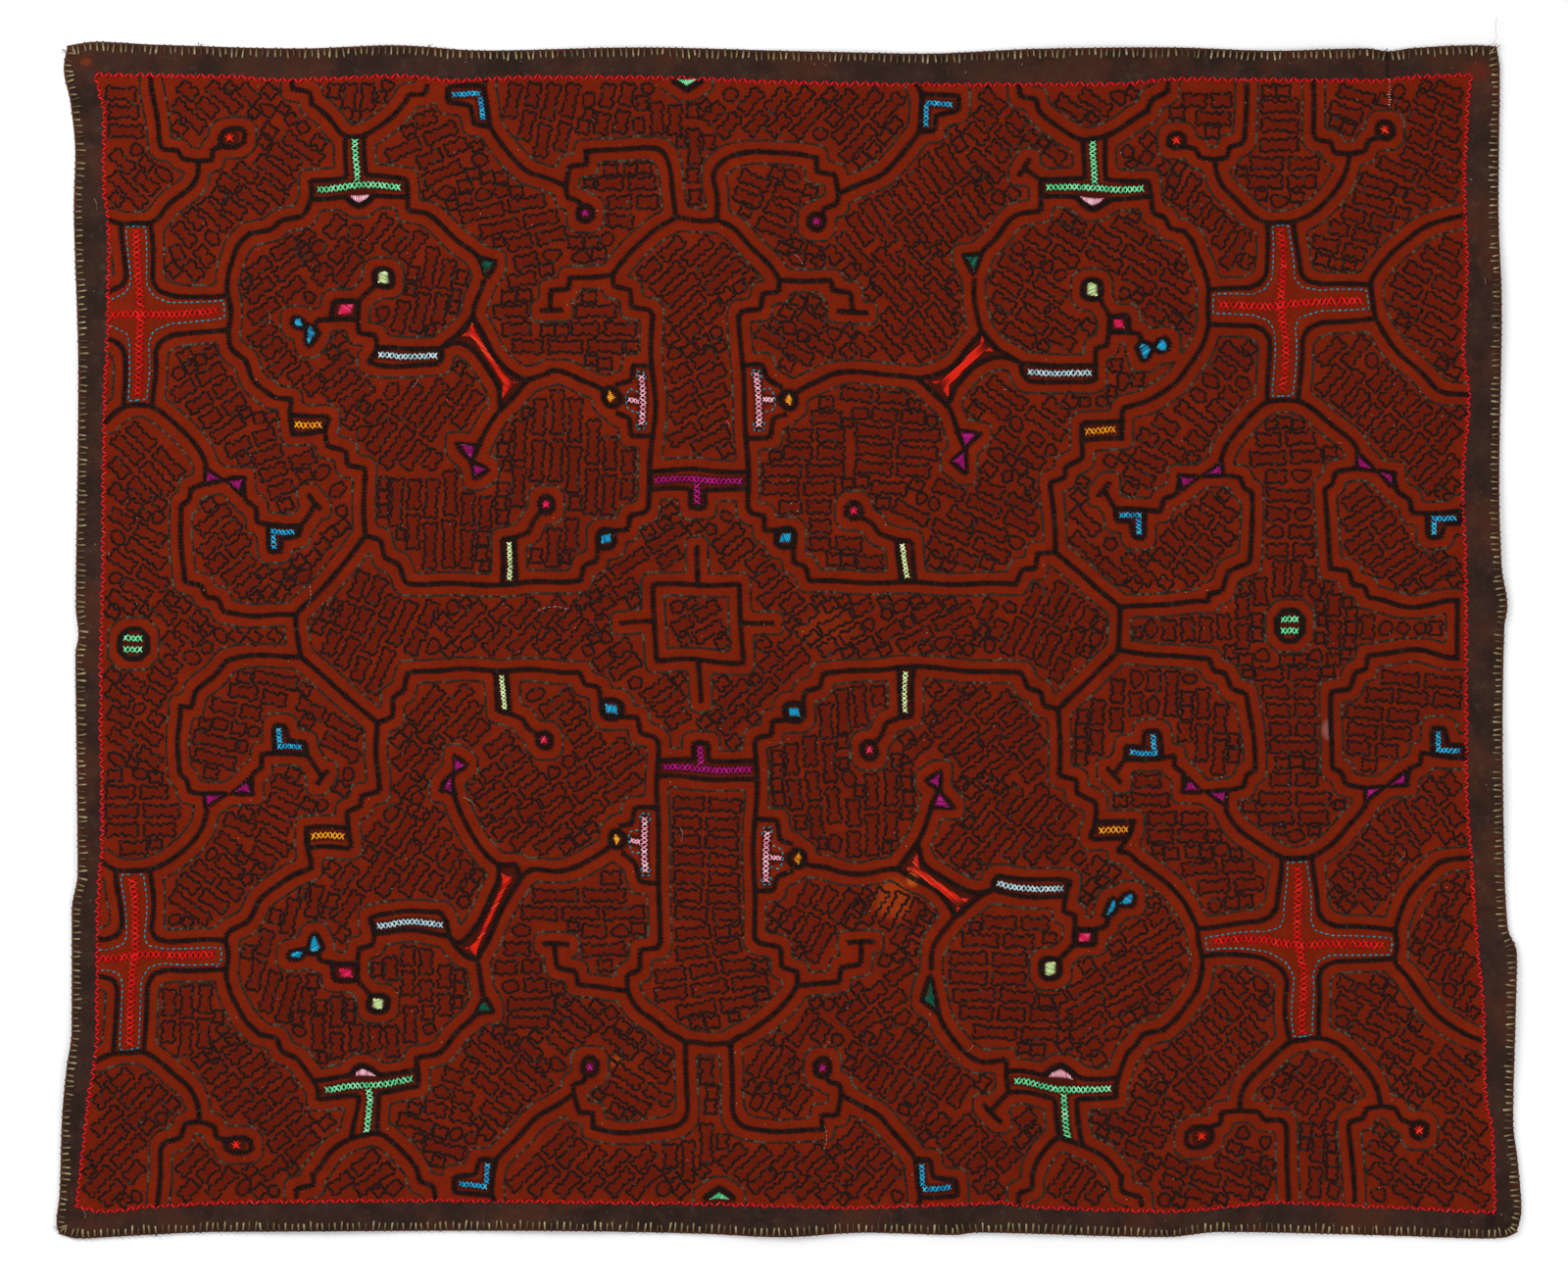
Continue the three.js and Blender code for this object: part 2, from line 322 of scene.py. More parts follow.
# Where marked places of the pattern really lie on the cloth, because no two quarters were drawn
# alike: pattern place first, then place on the cloth.
Mark = namedtuple("Mark", "x y at_x at_y")
MARKS = [Mark(*row) for row in [
    # upper left quarter
    (-410, 340, -414, 370), (-438, 305, -452, 337), (-466, 279, -488, 312), (-484, 284, -497, 325),
    (-343, 255, -358, 288), (-437, 196, -508, 220), (-302, 281, -325, 313), (-256, 241, -285, 256),
    (-293, 370, -307, 380), (-281, 190, -329, 192), (-273, 166, -317, 173), (-165, 116, -247, 139),
    (-214, 66, -285, 82), (-95, 85, -186, 103), (-68, 228, -150, 244), (-99, 229, -181, 248),
    (-419, 445, -440, 463), (-420, 495, -443, 514), (-366, 445, -388, 461), (-473, 440, -490, 456),
    (-135, 408, -207, 435), (-248, 530, -315, 555), (-500, 493, -573, 513), (-503, 147, -565, 159),
    (-532, 157, -588, 166), (-447, 107, -520, 105), (-365, 75, -434, 106), (-426, 17, -504, 27),
    (-533, 322, -572, 336), (-320, 43, -385, 59), (-571, 551, -652, 574), (-570, 494, -642, 506),
    (-214, 43, -285, 58), (-120, 43, -211, 60), (-401, 196, -474, 220), (-408, 255, -419, 289),
    (-336, 264, -355, 296), (-413, 281, -422, 311), (-589, 407, -652, 424), (-619, 407, -681, 423),
    (-584, 347, -644, 357), (-624, 347, -681, 364), (-533, 340, -574, 352), (-532, 304, -573, 316),
    (-584, 299, -644, 305), (-624, 299, -681, 300), (-589, 229, -648, 239), (-619, 229, -680, 239),
    (-560, 428, -630, 446), (-363, 525, -391, 550), (-343, 551, -370, 567), (-387, 504, -410, 531),
    (-472, 521, -487, 547), (-493, 551, -506, 567), (-454, 511, -469, 530), (-523, 281, -568, 296),
    (-498, 248, -550, 268), (-464, 226, -525, 248), (-441, 220, -509, 245), (-219, 475, -284, 494),
    (-180, 449, -249, 472), (-569, 134, -620, 139), (-565, 56, -619, 60), (-545, 54, -600, 57),
    (-527, 34, -582, 42), (-522, 21, -576, 28), (-398, 168, -469, 198), (-380, 155, -450, 188),
    (-364, 145, -432, 176), (-418, 137, -485, 138), (-33, 413, -116, 431), (-36, 446, -118, 462),
    (-44, 474, -125, 494), (-80, 481, -160, 502), (-63, 387, -147, 408), (-99, 351, -178, 373),
    (-48, 145, -137, 162), (-282, 532, -348, 556), (-490, 278, -503, 322), (0, 541, -105, 559),
    (-604, 0, -671, -2),
    # lower left quarter
    (-410, -340, -417, -371), (-438, -305, -452, -339), (-466, -279, -484, -310),
    (-484, -284, -502, -320), (-343, -255, -352, -291), (-417, -197, -472, -199),
    (-256, -241, -285, -237), (-302, -281, -322, -317), (-293, -370, -312, -374),
    (-268, -240, -297, -251), (-281, -255, -306, -271), (-296, -266, -319, -292),
    (-245, -253, -277, -249), (-260, -259, -287, -266), (-274, -268, -299, -287),
    (-289, -286, -310, -309), (-415, -432, -432, -442), (-419, -445, -429, -454),
    (-419, -492, -432, -502), (-366, -445, -379, -449), (-473, -440, -482, -453),
    (-272, -195, -342, -153), (-290, -193, -353, -151), (-278, -181, -345, -141),
    (-277, -177, -340, -136), (-264, -165, -329, -128), (-277, -156, -341, -120),
    (-268, -207, -331, -193), (-165, -116, -249, -104), (-214, -66, -291, -55), (-95, -85, -182, -70),
    (-68, -228, -146, -207), (-99, -229, -174, -204), (-135, -408, -204, -435), (-248, -530, -308, -558),
    (-500, -493, -564, -515), (-503, -147, -556, -153), (-532, -157, -588, -162),
    (-447, -107, -514, -102), (-365, -75, -419, -86), (-426, -17, -497, -17), (-533, -322, -574, -319),
    (-604, -229, -672, -235), (-604, -407, -672, -419), (-320, -43, -384, -33), (-120, -43, -213, -32),
    (-408, -255, -420, -291), (-413, -281, -425, -311), (-537, -472, -601, -491),
    (-553, -480, -620, -501), (-568, -490, -641, -515), (-571, -551, -644, -576),
    (-520, -478, -585, -500), (-546, -443, -612, -457), (-560, -428, -626, -443),
    (-574, -415, -642, -430), (-589, -407, -657, -419), (-619, -407, -690, -419),
    (-584, -347, -648, -339), (-624, -347, -688, -346), (-584, -299, -645, -306),
    (-343, -551, -360, -570), (-361, -537, -377, -552), (-387, -504, -402, -515),
    (-454, -511, -472, -529), (-472, -521, -485, -545), (-493, -551, -501, -568),
    (-523, -281, -567, -293), (-498, -248, -542, -267), (-464, -226, -505, -239),
    (-441, -220, -487, -232), (-569, -134, -621, -138), (-565, -56, -621, -66), (-540, -40, -604, -52),
    (-527, -34, -587, -36), (-522, -21, -574, -21), (-461, -105, -528, -101), (-364, -145, -418, -154),
    (-380, -155, -437, -163), (-398, -168, -451, -174), (-238, -245, -277, -235),
    (-262, -223, -296, -229), (-131, -247, -203, -225), (-160, -256, -228, -234),
    (-212, -255, -268, -236), (-33, -413, -105, -410), (-63, -387, -136, -391), (-99, -351, -167, -357),
    (-79, -330, -153, -328), (-57, -315, -135, -311), (-149, -344, -215, -344), (-168, -336, -236, -334),
    (-168, -318, -238, -311), (-36, -446, -105, -465), (-46, -475, -111, -492), (-80, -481, -157, -503),
    (-180, -449, -239, -475), (-219, -475, -275, -504), (-240, -502, -298, -530), (-48, -146, -128, -130),
    (0, -146, -88, -132), (0, -119, -89, -105), (-54, -117, -134, -103), (-266, -214, -312, -215),
    (-270, -200, -338, -165), (-530, -350, -573, -348), (-515, -387, -553, -390),
    (-492, -403, -523, -408), (-475, -418, -503, -426), (-282, -532, -341, -557),
    (-490, -278, -508, -317), (0, -541, -71, -559),
    # lower right quarter
    (410, -340, 268, -335), (438, -305, 302, -302), (466, -279, 330, -270), (484, -284, 343, -263),
    (375, -256, 238, -255), (417, -197, 332, -196), (256, -241, 125, -227), (302, -281, 178, -267),
    (293, -370, 143, -360), (415, -432, 275, -442), (419, -445, 280, -457), (419, -492, 283, -507),
    (366, -445, 222, -452), (473, -440, 336, -450), (281, -190, 156, -164), (273, -166, 149, -144),
    (165, -116, 82, -113), (214, -66, 119, -53), (95, -85, 4, -75), (68, -228, -22, -222),
    (99, -229, 9, -223), (135, -408, 33, -437), (248, -530, 137, -560), (500, -493, 424, -507),
    (708, -493, 645, -499), (503, -147, 410, -150), (532, -157, 438, -159), (676, -157, 595, -155),
    (705, -147, 623, -145), (447, -107, 365, -109), (761, -107, 670, -109), (365, -75, 276, -72),
    (426, -17, 336, -13), (533, -322, 420, -309), (675, -322, 621, -309), (604, -229, 517, -222),
    (604, -407, 525, -406), (570, -494, 507, -496), (638, -494, 571, -496), (571, -551, 509, -573),
    (637, -551, 577, -573), (120, -43, 33, -33), (325, -43, 236, -34), (571, -342, 486, -324),
    (586, -351, 506, -340), (637, -342, 557, -329), (623, -350, 545, -339), (546, -443, 469, -452),
    (560, -428, 482, -436), (574, -415, 499, -420), (343, -551, 235, -576), (363, -525, 247, -545),
    (387, -504, 261, -520), (436, -499, 307, -518), (454, -511, 328, -531), (472, -521, 340, -549),
    (493, -551, 360, -576), (690, -285, 622, -281), (712, -265, 634, -258), (735, -248, 650, -238),
    (765, -234, 675, -223), (690, -362, 628, -343), (712, -382, 645, -363), (740, -400, 667, -388),
    (790, -414, 706, -408), (522, -21, 428, -18), (534, -36, 439, -31), (545, -54, 451, -51),
    (565, -56, 468, -55), (686, -21, 592, -16), (674, -36, 582, -31), (663, -54, 571, -49),
    (643, -56, 554, -53), (783, -17, 681, -17), (475, -19, 378, -17), (364, -145, 276, -138),
    (461, -105, 381, -106), (131, -247, 39, -233), (160, -256, 61, -237), (212, -255, 98, -234),
    (292, -334, 145, -314), (315, -393, 167, -406), (335, -414, 191, -428), (349, -462, 207, -483),
    (33, -413, -59, -410), (63, -387, -30, -390), (99, -351, 6, -351), (79, -330, -8, -326),
    (57, -315, -31, -308), (149, -344, 52, -342), (168, -336, 73, -330), (168, -318, 74, -308),
    (36, -446, -59, -465), (46, -475, -52, -492), (80, -481, -8, -503), (180, -449, 75, -475),
    (219, -475, 108, -502), (48, -146, -39, -133), (533, -340, 422, -322), (529, -356, 419, -347),
    (515, -387, 397, -383), (500, -401, 372, -401), (487, -413, 351, -413), (475, -418, 346, -424),
    (604, 0, 511, 16),
    # upper right quarter
    (120, 43, 21, 60), (325, 43, 232, 58), (708, 493, 608, 520), (676, 157, 585, 179),
    (705, 147, 610, 166), (761, 107, 665, 118), (675, 322, 598, 345), (604, 322, 501, 340),
    (589, 407, 488, 425), (619, 407, 516, 425), (589, 229, 489, 245), (619, 229, 520, 245),
    (533, 340, 430, 359), (532, 304, 429, 321), (676, 304, 600, 328), (426, 17, 336, 33),
    (475, 19, 378, 36), (522, 21, 429, 39), (534, 36, 436, 47), (563, 55, 468, 76), (686, 21, 592, 42),
    (783, 17, 681, 42), (643, 55, 553, 72), (48, 145, -48, 162), (77, 0, -17, 19), (33, 413, -74, 429),
    (36, 446, -73, 462), (44, 474, -69, 488), (54, 480, -50, 497), (80, 481, -22, 498),
    (50, 401, -57, 420), (63, 387, -43, 407), (81, 373, -26, 391), (99, 351, -8, 369),
    (349, 462, 240, 479),
]]
MARK_REACH = 58.0   # a mark moves the drawing about this far round it
MARK_CLOSE = 30.0   # and brings it right to its place this near by
MARK_HOLD = 0.12    # how firmly the rest keeps to the even pattern
MARK_GIVE = 0.03    # how far a mark gives way to its neighbours

# Plain geometry


def smooth(t):
    c = np.clip(t, 0, 1)
    return c * c * (3 - 2 * c)


def side_at(side, run):
    """Where a measured side is, by a cubic that keeps to its rows and never overshoots."""
    rows = np.array(side, float)
    along, across = rows[:, 0], rows[:, 1]
    gaps = np.diff(along)
    slopes = np.diff(across) / gaps
    before, after = slopes[:-1], slopes[1:]
    same = before * after > 0
    inner = np.where(same, 2 * before * after / np.where(same, before + after, 1), 0)
    tangents = np.concatenate([slopes[:1], inner, slopes[-1:]])
    k = np.clip(np.searchsorted(along, run) - 1, 0, len(gaps) - 1)
    t = (run - along[k]) / gaps[k]
    return (
        across[k] * (2 * t**3 - 3 * t**2 + 1)
        + across[k + 1] * (3 * t**2 - 2 * t**3)
        + gaps[k] * (tangents[k] * (t**3 - 2 * t**2 + t) + tangents[k + 1] * (t**3 - t**2))
    )


def planform(u, v):
    """The place of a point of the cloth, from its shares of the width and the height."""
    def share(side, s):
        first, last = side[0][0], side[-1][0]
        run = first + (last - first) * s
        return run, side_at(side, run)
    top, bottom = CLOTH["top"], CLOTH["bottom"]
    top_x, top_y = share(top, u)
    low_x, low_y = share(bottom, u)
    left_y, left_x = share(CLOTH["left"], v)
    right_y, right_x = share(CLOTH["right"], v)
    def corners(axis):
        return (
            (1 - u) * (1 - v) * bottom[0][axis] + u * (1 - v) * bottom[-1][axis]
            + (1 - u) * v * top[0][axis] + u * v * top[-1][axis]
        )
    x = (1 - v) * low_x + v * top_x + (1 - u) * left_x + u * right_x - corners(0)
    y = (1 - v) * low_y + v * top_y + (1 - u) * left_y + u * right_y - corners(1)
    return x, y


CLOTH_WIDE = CLOTH["bottom"][-1][0] - CLOTH["bottom"][0][0]
CLOTH_HIGH = CLOTH["top"][0][1] - CLOTH["bottom"][0][1]


def lift(x, y):
    """How far the cloth stands off the surface it lies on."""
    to_side = CLOTH_WIDE / 2 - np.abs(x)
    to_end = CLOTH_HIGH / 2 - np.abs(y)
    def wave(run, shift):
        return 0.5 - 0.5 * np.cos(2 * math.pi * run / RIPPLE_LONG + shift)
    side_shift = np.where(x > 0, RIPPLE_SHIFT["right"], RIPPLE_SHIFT["left"])
    end_shift = np.where(y > 0, RIPPLE_SHIFT["top"], RIPPLE_SHIFT["bottom"])
    from_side = smooth(1 - to_side / RIPPLE_REACH) * wave(y, side_shift)
    from_end = smooth(1 - to_end / RIPPLE_REACH) * wave(x, end_shift)
    rise = smooth((np.hypot(to_side, to_end) - CORNER_FLAT) / CORNER_RISE)
    return RIPPLE_HIGH * np.maximum(from_side, from_end) * rise


def inward(sides, x, y):
    """Distance in from the nearest of four sides, negative outside them."""
    return np.minimum.reduce([
        x - side_at(sides["left"], y), side_at(sides["right"], y) - x,
        side_at(sides["top"], x) - y, y - side_at(sides["bottom"], x),
    ])


def from_edge(x, y):
    """Distance in from the edge of the cloth."""
    return inward(CLOTH, x, y)


def surface(x, y):
    """Height of the cloth's upper face."""
    hem = 1 - smooth((from_edge(x, y) - HEM_WIDE) / HEM_STEP)
    return lift(x, y) + CLOTH_THICK + (HEM_THICK - CLOTH_THICK) * hem


def inside_panel(points):
    """Distance from each point to the edge of the rust panel, positive inside it."""
    return inward(PANEL, points[..., 0], points[..., 1])


def both_ways(degrees):
    """Unit steps along a direction and across it."""
    a = math.radians(degrees)
    along = np.array([math.cos(a), math.sin(a)])
    return along, np.array([-along[1], along[0]])


def stretches(good):
    """Where each unbroken run of true values starts and ends."""
    edge = np.r_[False, good, False]
    starts = np.nonzero(edge[1:] & ~edge[:-1])[0]
    stops = np.nonzero(~edge[1:] & edge[:-1])[0]
    return zip(starts, stops)


# Drawing the pattern

WOBBLE = 1.5       # how far a hand-drawn line strays
LINE_STEP = 1.5    # points along a drawn line


def evenly_placed(x, y):
    """Places on the cloth of an evenly drawn pattern, between the axes of its quarters."""
    col = np.where(x > 0, 1, 0)
    row = np.where(y > 0, 1, 0)
    u = x / QUARTER_WIDE + 1 - col
    v = y / QUARTER_HIGH + 1 - row
    placed = []
    for axes in (np.array(AXES_X, float), np.array(AXES_Y, float)):
        low = axes[row, col] * (1 - u) + axes[row, col + 1] * u
        high = axes[row + 1, col] * (1 - u) + axes[row + 1, col + 1] * u
        placed.append(low * (1 - v) + high * v)
    return placed


MARKED = np.array([(m.x, m.y) for m in MARKS], float)
MARKED_AT = np.array([(m.at_x, m.at_y) for m in MARKS], float)


def mark_nearness(x, y, reach):
    """How near a place is to each mark, from 1 at it to 0 far away."""
    away = (x[..., None] - MARKED[:, 0]) ** 2 + (y[..., None] - MARKED[:, 1]) ** 2
    return np.exp(-away / reach**2)


def loosely_placed(x, y):
    """Places on the cloth of a pattern drawn towards the marks near by."""
    even = evenly_placed(*MARKED.T)
    near = mark_nearness(x, y, MARK_REACH)
    share = near / (near.sum(-1, keepdims=True) + MARK_HOLD)
    return [p + share @ (MARKED_AT[:, k] - even[k]) for k, p in enumerate(evenly_placed(x, y))]


def mark_pulls():
    """What each mark still has to add close by, so that it comes to its own place."""
    near = mark_nearness(*MARKED.T, MARK_CLOSE) + MARK_GIVE * np.eye(len(MARKS))
    return np.linalg.solve(near, MARKED_AT - np.stack(loosely_placed(*MARKED.T), -1))


MARK_PULLS = mark_pulls()


def drawn(points):
    """Pattern places to places on the cloth, with the unevenness of the hand."""
    p = np.asarray(points, float)
    x, y = p[..., 0], p[..., 1]
    loose = loosely_placed(x, y)
    pull = mark_nearness(x, y, MARK_CLOSE) @ MARK_PULLS
    stray_x = np.sin(x / 31 + 1.3) * np.sin(y / 43 + 0.4) + 0.6 * np.sin(x / 11 + y / 17)
    stray_y = np.sin(x / 37 + 2.1) * np.sin(y / 29 + 1.9) + 0.6 * np.sin(x / 13 - y / 15)
    placed_x = loose[0] + pull[..., 0] + WOBBLE * stray_x
    placed_y = loose[1] + pull[..., 1] + WOBBLE * stray_y
    return np.stack([placed_x, placed_y], -1)


def curve_through(points, step=3.0):
    """A smooth line through given points."""
    p = np.array(points, float)
    p = np.vstack([2 * p[0] - p[1], p, 2 * p[-1] - p[-2]])
    out = []
    for k in range(1, len(p) - 2):
        count = max(2, int(np.linalg.norm(p[k + 1] - p[k]) / step))
        t = np.linspace(0, 1, count, endpoint=False)[:, None]
        a, b, c, d = p[k - 1], p[k], p[k + 1], p[k + 2]
        out.append(0.5 * (2 * b + (c - a) * t + (2 * a - 5 * b + 4 * c - d) * t**2
                          + (3 * b - a - 3 * c + d) * t**3))
    out.append(p[-2][None])
    return np.vstack(out)


def at_even_steps(points, step=LINE_STEP):
    p = np.asarray(points, float)
    run = np.r_[0, np.cumsum(np.linalg.norm(np.diff(p, axis=0), axis=1))]
    count = max(2, int(round(run[-1] / step)) + 1)
    s = np.linspace(0, run[-1], count)
    return np.stack([np.interp(s, run, p[:, 0]), np.interp(s, run, p[:, 1])], -1)


def softened(points, turns=1):
    """Rounds a line's corners a little, and keeps its ends."""
    p = points.copy()
    for _ in range(turns):
        p[1:-1] = 0.25 * p[:-2] + 0.5 * p[1:-1] + 0.25 * p[2:]
    return p


def mirrored(points, past=None):
    """Copies of a quarter's points in all quarters, each once, and past the outer axes too."""
    p = np.asarray(points, float)
    copies, seen = [], set()
    for up in (1, -1):
        for side in (1, -1):
            again = past and (side > 0 or past != "right")
            beyond = [p * (-side, up) + (side * 2 * QUARTER_WIDE, 0)] if again else []
            for q in [p * (side, up), *beyond]:
                key = tuple(sorted((round(a), round(b)) for a, b in q + 0.001))
                if key not in seen:
                    seen.add(key)
                    copies.append(q)
    return copies


def drawn_copies(line, past=None):
    """A line of the quarter in all its places on the cloth."""
    return [drawn(copy) for copy in mirrored(at_even_steps(line), past)]


def on_panel(line, margin=1.5):
    """The stretches of a line that lie on the panel."""
    return [line[a:b] for a, b in stretches(inside_panel(line) > margin) if b - a > 2]


def small_box(x, y, half):
    """A square with cut corners, closed."""
    cut = half * 0.45
    ring = [(-half, -cut), (-half, cut), (-cut, half), (cut, half)]
    ring += [(-a, -b) for a, b in ring] + ring[:1]
    return [(x + a, y + b) for a, b in ring]


def triangle_edge(corners):
    """A black line just outside a small coloured area."""
    c = np.array(corners, float)
    mid = c.mean(0)
    c = mid + (c - mid) * 1.2
    return np.vstack([c, c[:1]])


def black_line_paths():
    """All the thick black lines, as far as they lie on the panel."""
    quarter = [(line, LINES_PAST.get(name)) for name, line in STEPPED_LINES.items()
               if name not in LINES_RIGHT]
    quarter += [(curve_through(line), LINES_PAST.get(name)) for name, line in CURVED_LINES.items()]
    quarter += [(small_box(r.x, r.y, r.half), r.past) for r in RINGS]
    quarter += [(triangle_edge(t.corners), t.past) for t in TRIANGLES]
    lines = [copy for line, past in quarter for copy in drawn_copies(line, past)]
    right = [np.array(STEPPED_LINES[name]) for name in sorted(LINES_RIGHT)]
    right += [curve_through(line) for line in FAR_LINES.values()]
    lines += [drawn(at_even_steps(line * (1, up))) for line in right for up in (1, -1)]
    return [stretch for line in lines for stretch in on_panel(softened(line))]


# Fields on a grid

GRID = 2.0             # from point to point
GRID_X = 752.0         # half its width
GRID_Y = 616.0
GRID_SHAPE = (int(2 * GRID_X / GRID) + 1, int(2 * GRID_Y / GRID) + 1)
REACH = 26.0           # the furthest distance that is measured
CORNER_SQUARE = 1.65   # how squarely an outline turns a corner


def grid_places():
    x = np.arange(GRID_SHAPE[0]) * GRID - GRID_X
    y = np.arange(GRID_SHAPE[1]) * GRID - GRID_Y
    return np.stack(np.meshgrid(x, y, indexing="ij"), -1)


def nearest_cells(points):
    """The column and the row of the grid nearest to each place on the cloth."""
    cells = np.round((points + np.array([GRID_X, GRID_Y])) / GRID).astype(int)
    return cells[..., 0], cells[..., 1]


def held(columns, rows):
    """Columns and rows of the grid, those outside it moved to its edge."""
    return np.clip(columns, 0, GRID_SHAPE[0] - 1), np.clip(rows, 0, GRID_SHAPE[1] - 1)


def nearness(paths):
    """Distance from each grid point to the nearest path, squared off at corners."""
    field = np.full(GRID_SHAPE, REACH)
    p = np.vstack(paths)
    column, row = nearest_cells(p)
    cells = range(-int(REACH / GRID), int(REACH / GRID) + 1)
    for i, j in itertools.product(cells, cells):
        gx, gy = column + i, row + j
        ok = (gx >= 0) & (gx < GRID_SHAPE[0]) & (gy >= 0) & (gy < GRID_SHAPE[1])
        dx = np.abs(gx * GRID - GRID_X - p[:, 0])
        dy = np.abs(gy * GRID - GRID_Y - p[:, 1])
        d = np.maximum(np.maximum(dx, dy), (dx + dy) / CORNER_SQUARE)
        np.minimum.at(field, (gx[ok], gy[ok]), d[ok])
    return field


def read_field(field, points):
    """A field's value at any place."""
    fx = np.clip((points[..., 0] + GRID_X) / GRID, 0, field.shape[0] - 1.001)
    fy = np.clip((points[..., 1] + GRID_Y) / GRID, 0, field.shape[1] - 1.001)
    i, j = fx.astype(int), fy.astype(int)
    u, v = fx - i, fy - j
    return (
        field[i, j] * (1 - u) * (1 - v) + field[i + 1, j] * u * (1 - v)
        + field[i, j + 1] * (1 - u) * v + field[i + 1, j + 1] * u * v
    )


# Which sides of a grid cell a level line joins, by which of its corners are above the level.
# Sides: 0 low y, 1 high x, 2 high y, 3 low x.
CELL_JOINS = {
    1: [(3, 0)], 2: [(0, 1)], 3: [(3, 1)], 4: [(1, 2)], 5: [(3, 2), (0, 1)], 6: [(0, 2)],
    7: [(3, 2)], 8: [(2, 3)], 9: [(2, 0)], 10: [(0, 3), (1, 2)], 11: [(2, 1)], 12: [(1, 3)],
    13: [(1, 0)], 14: [(0, 3)],
}


def level_lines(field, level):
    """The lines along which a field has one value."""
    above = field > level
    code = above[:-1, :-1] * 1 + above[1:, :-1] * 2 + above[1:, 1:] * 4 + above[:-1, 1:] * 8
    def crossing(i, j, side):
        return {0: (0, i, j), 1: (1, i + 1, j), 2: (0, i, j + 1), 3: (1, i, j)}[side]
    def place(key):
        kind, i, j = key
        a = field[i, j]
        b = field[i + 1, j] if kind == 0 else field[i, j + 1]
        t = (level - a) / (b - a)
        step = (t, 0) if kind == 0 else (0, t)
        return (i + step[0]) * GRID - GRID_X, (j + step[1]) * GRID - GRID_Y
    links = {}
    for i, j in zip(*np.nonzero((code > 0) & (code < 15))):
        for a, b in CELL_JOINS[int(code[i, j])]:
            one, other = crossing(int(i), int(j), a), crossing(int(i), int(j), b)
            links.setdefault(one, []).append(other)
            links.setdefault(other, []).append(one)
    lines = []
    while links:
        start = next((k for k, v in links.items() if len(v) == 1), next(iter(links)))
        chain = [start]
        while chain[-1] in links:
            here = chain[-1]
            after = links[here].pop()
            if not links[here]:
                del links[here]
            links[after].remove(here)
            if not links[after]:
                del links[after]
            chain.append(after)
            if after == start:
                break
        if len(chain) > 2:
            lines.append(np.array([place(k) for k in chain]))
    return lines


OUTLINE_GAP = 11.5   # from a black line to the fine line beside it
ACCENT_CLEAR = 13.0  # nothing fine is sewn this near to a coloured row
OUTLINE_IN = 2.5     # from the panel's edge to the nearest fine line
OUTLINE_SHORT = 12   # a shorter stretch is left out


def outline_paths(near_black, near_accent):
    """Fine lines that follow the black ones on both sides."""
    paths = []
    for line in level_lines(near_black, OUTLINE_GAP):
        clear = read_field(near_accent, line) > ACCENT_CLEAR
        for a, b in stretches(clear & (inside_panel(line) > OUTLINE_IN)):
            if (b - a) * GRID > OUTLINE_SHORT:
                paths.append(softened(line[a:b], 2))
    return paths


# The small filling motifs

FILL_CLEAR = 14.4     # from a black line to the middle third of a motif
ROW_PITCH = 18.6      # from one row of motifs to the next
MOTIF_LONG = 47.0
MOTIF_SHORT = 8.0
MOTIF_GAP = 6.0
MOTIF_WAIST = 5.2     # half width in the middle of a motif
MOTIF_FLARE = 1.6     # how much wider it is at the ends
MOTIF_TEETH = 1.3     # how deep the teeth along its sides are
MOTIF_TOOTH = 8.4     # from one tooth to the next
MOTIF_STRIP = 5.5     # half width that must be free
BLOB_HALF = 6.2       # half width of the small blobs between the rows
MOTIF_KEEP = 11.0     # nothing else is drawn this near to a motif's middle line
BLOB_SIZES = [6.0, 5.2, 4.5]   # half widths of blobs, the largest drawn first
BRICK_LONG = 24.0     # the motif that a blob is a smaller copy of
BLOB_GAP = 1.6        # between a blob and its neighbours
BLOB_LONG = 2.3       # length of a blob to its half width
DOT_SHORT = 19        # a shorter motif is a lumpy dot,
DOT_HALF = 6.2        # of this half width
DOT_LEAST = 5.2       # and at least this half length
FLARE_LONG = 11       # the flare begins this far from a motif's end
FLARE_RISE = 6        # and is full after this length
END_ROUND = 2.4       # length over which the end draws in again
END_HALF = 4.6        # half width of a motif's forked end
END_OUT = 0.9         # how far the two tips stand out
END_DENT = 1.3        # and how far the dent goes in between them
PANEL_CLEAR = 5.0     # from the panel's edge to the nearest motif
FIELD_LEAST = 30      # cells of the smallest field that is filled


def fields_of_filling(free):
    """Spreads each field's direction over the free ground, step by step."""
    label = np.full(free.shape, -1)
    for k, field in enumerate(FILLING):
        i, j = nearest_cells(np.array([field.x, field.y]))
        label[i - 1:i + 2, j - 1:j + 2] = k
    label[~free] = -1
    before = None
    while (label < 0).sum() != before:
        before = (label < 0).sum()
        for axis, way in ((0, 1), (0, -1), (1, 1), (1, -1)):
            moved = np.roll(label, way, axis)
            label = np.where((label < 0) & free, moved, label)
    return label


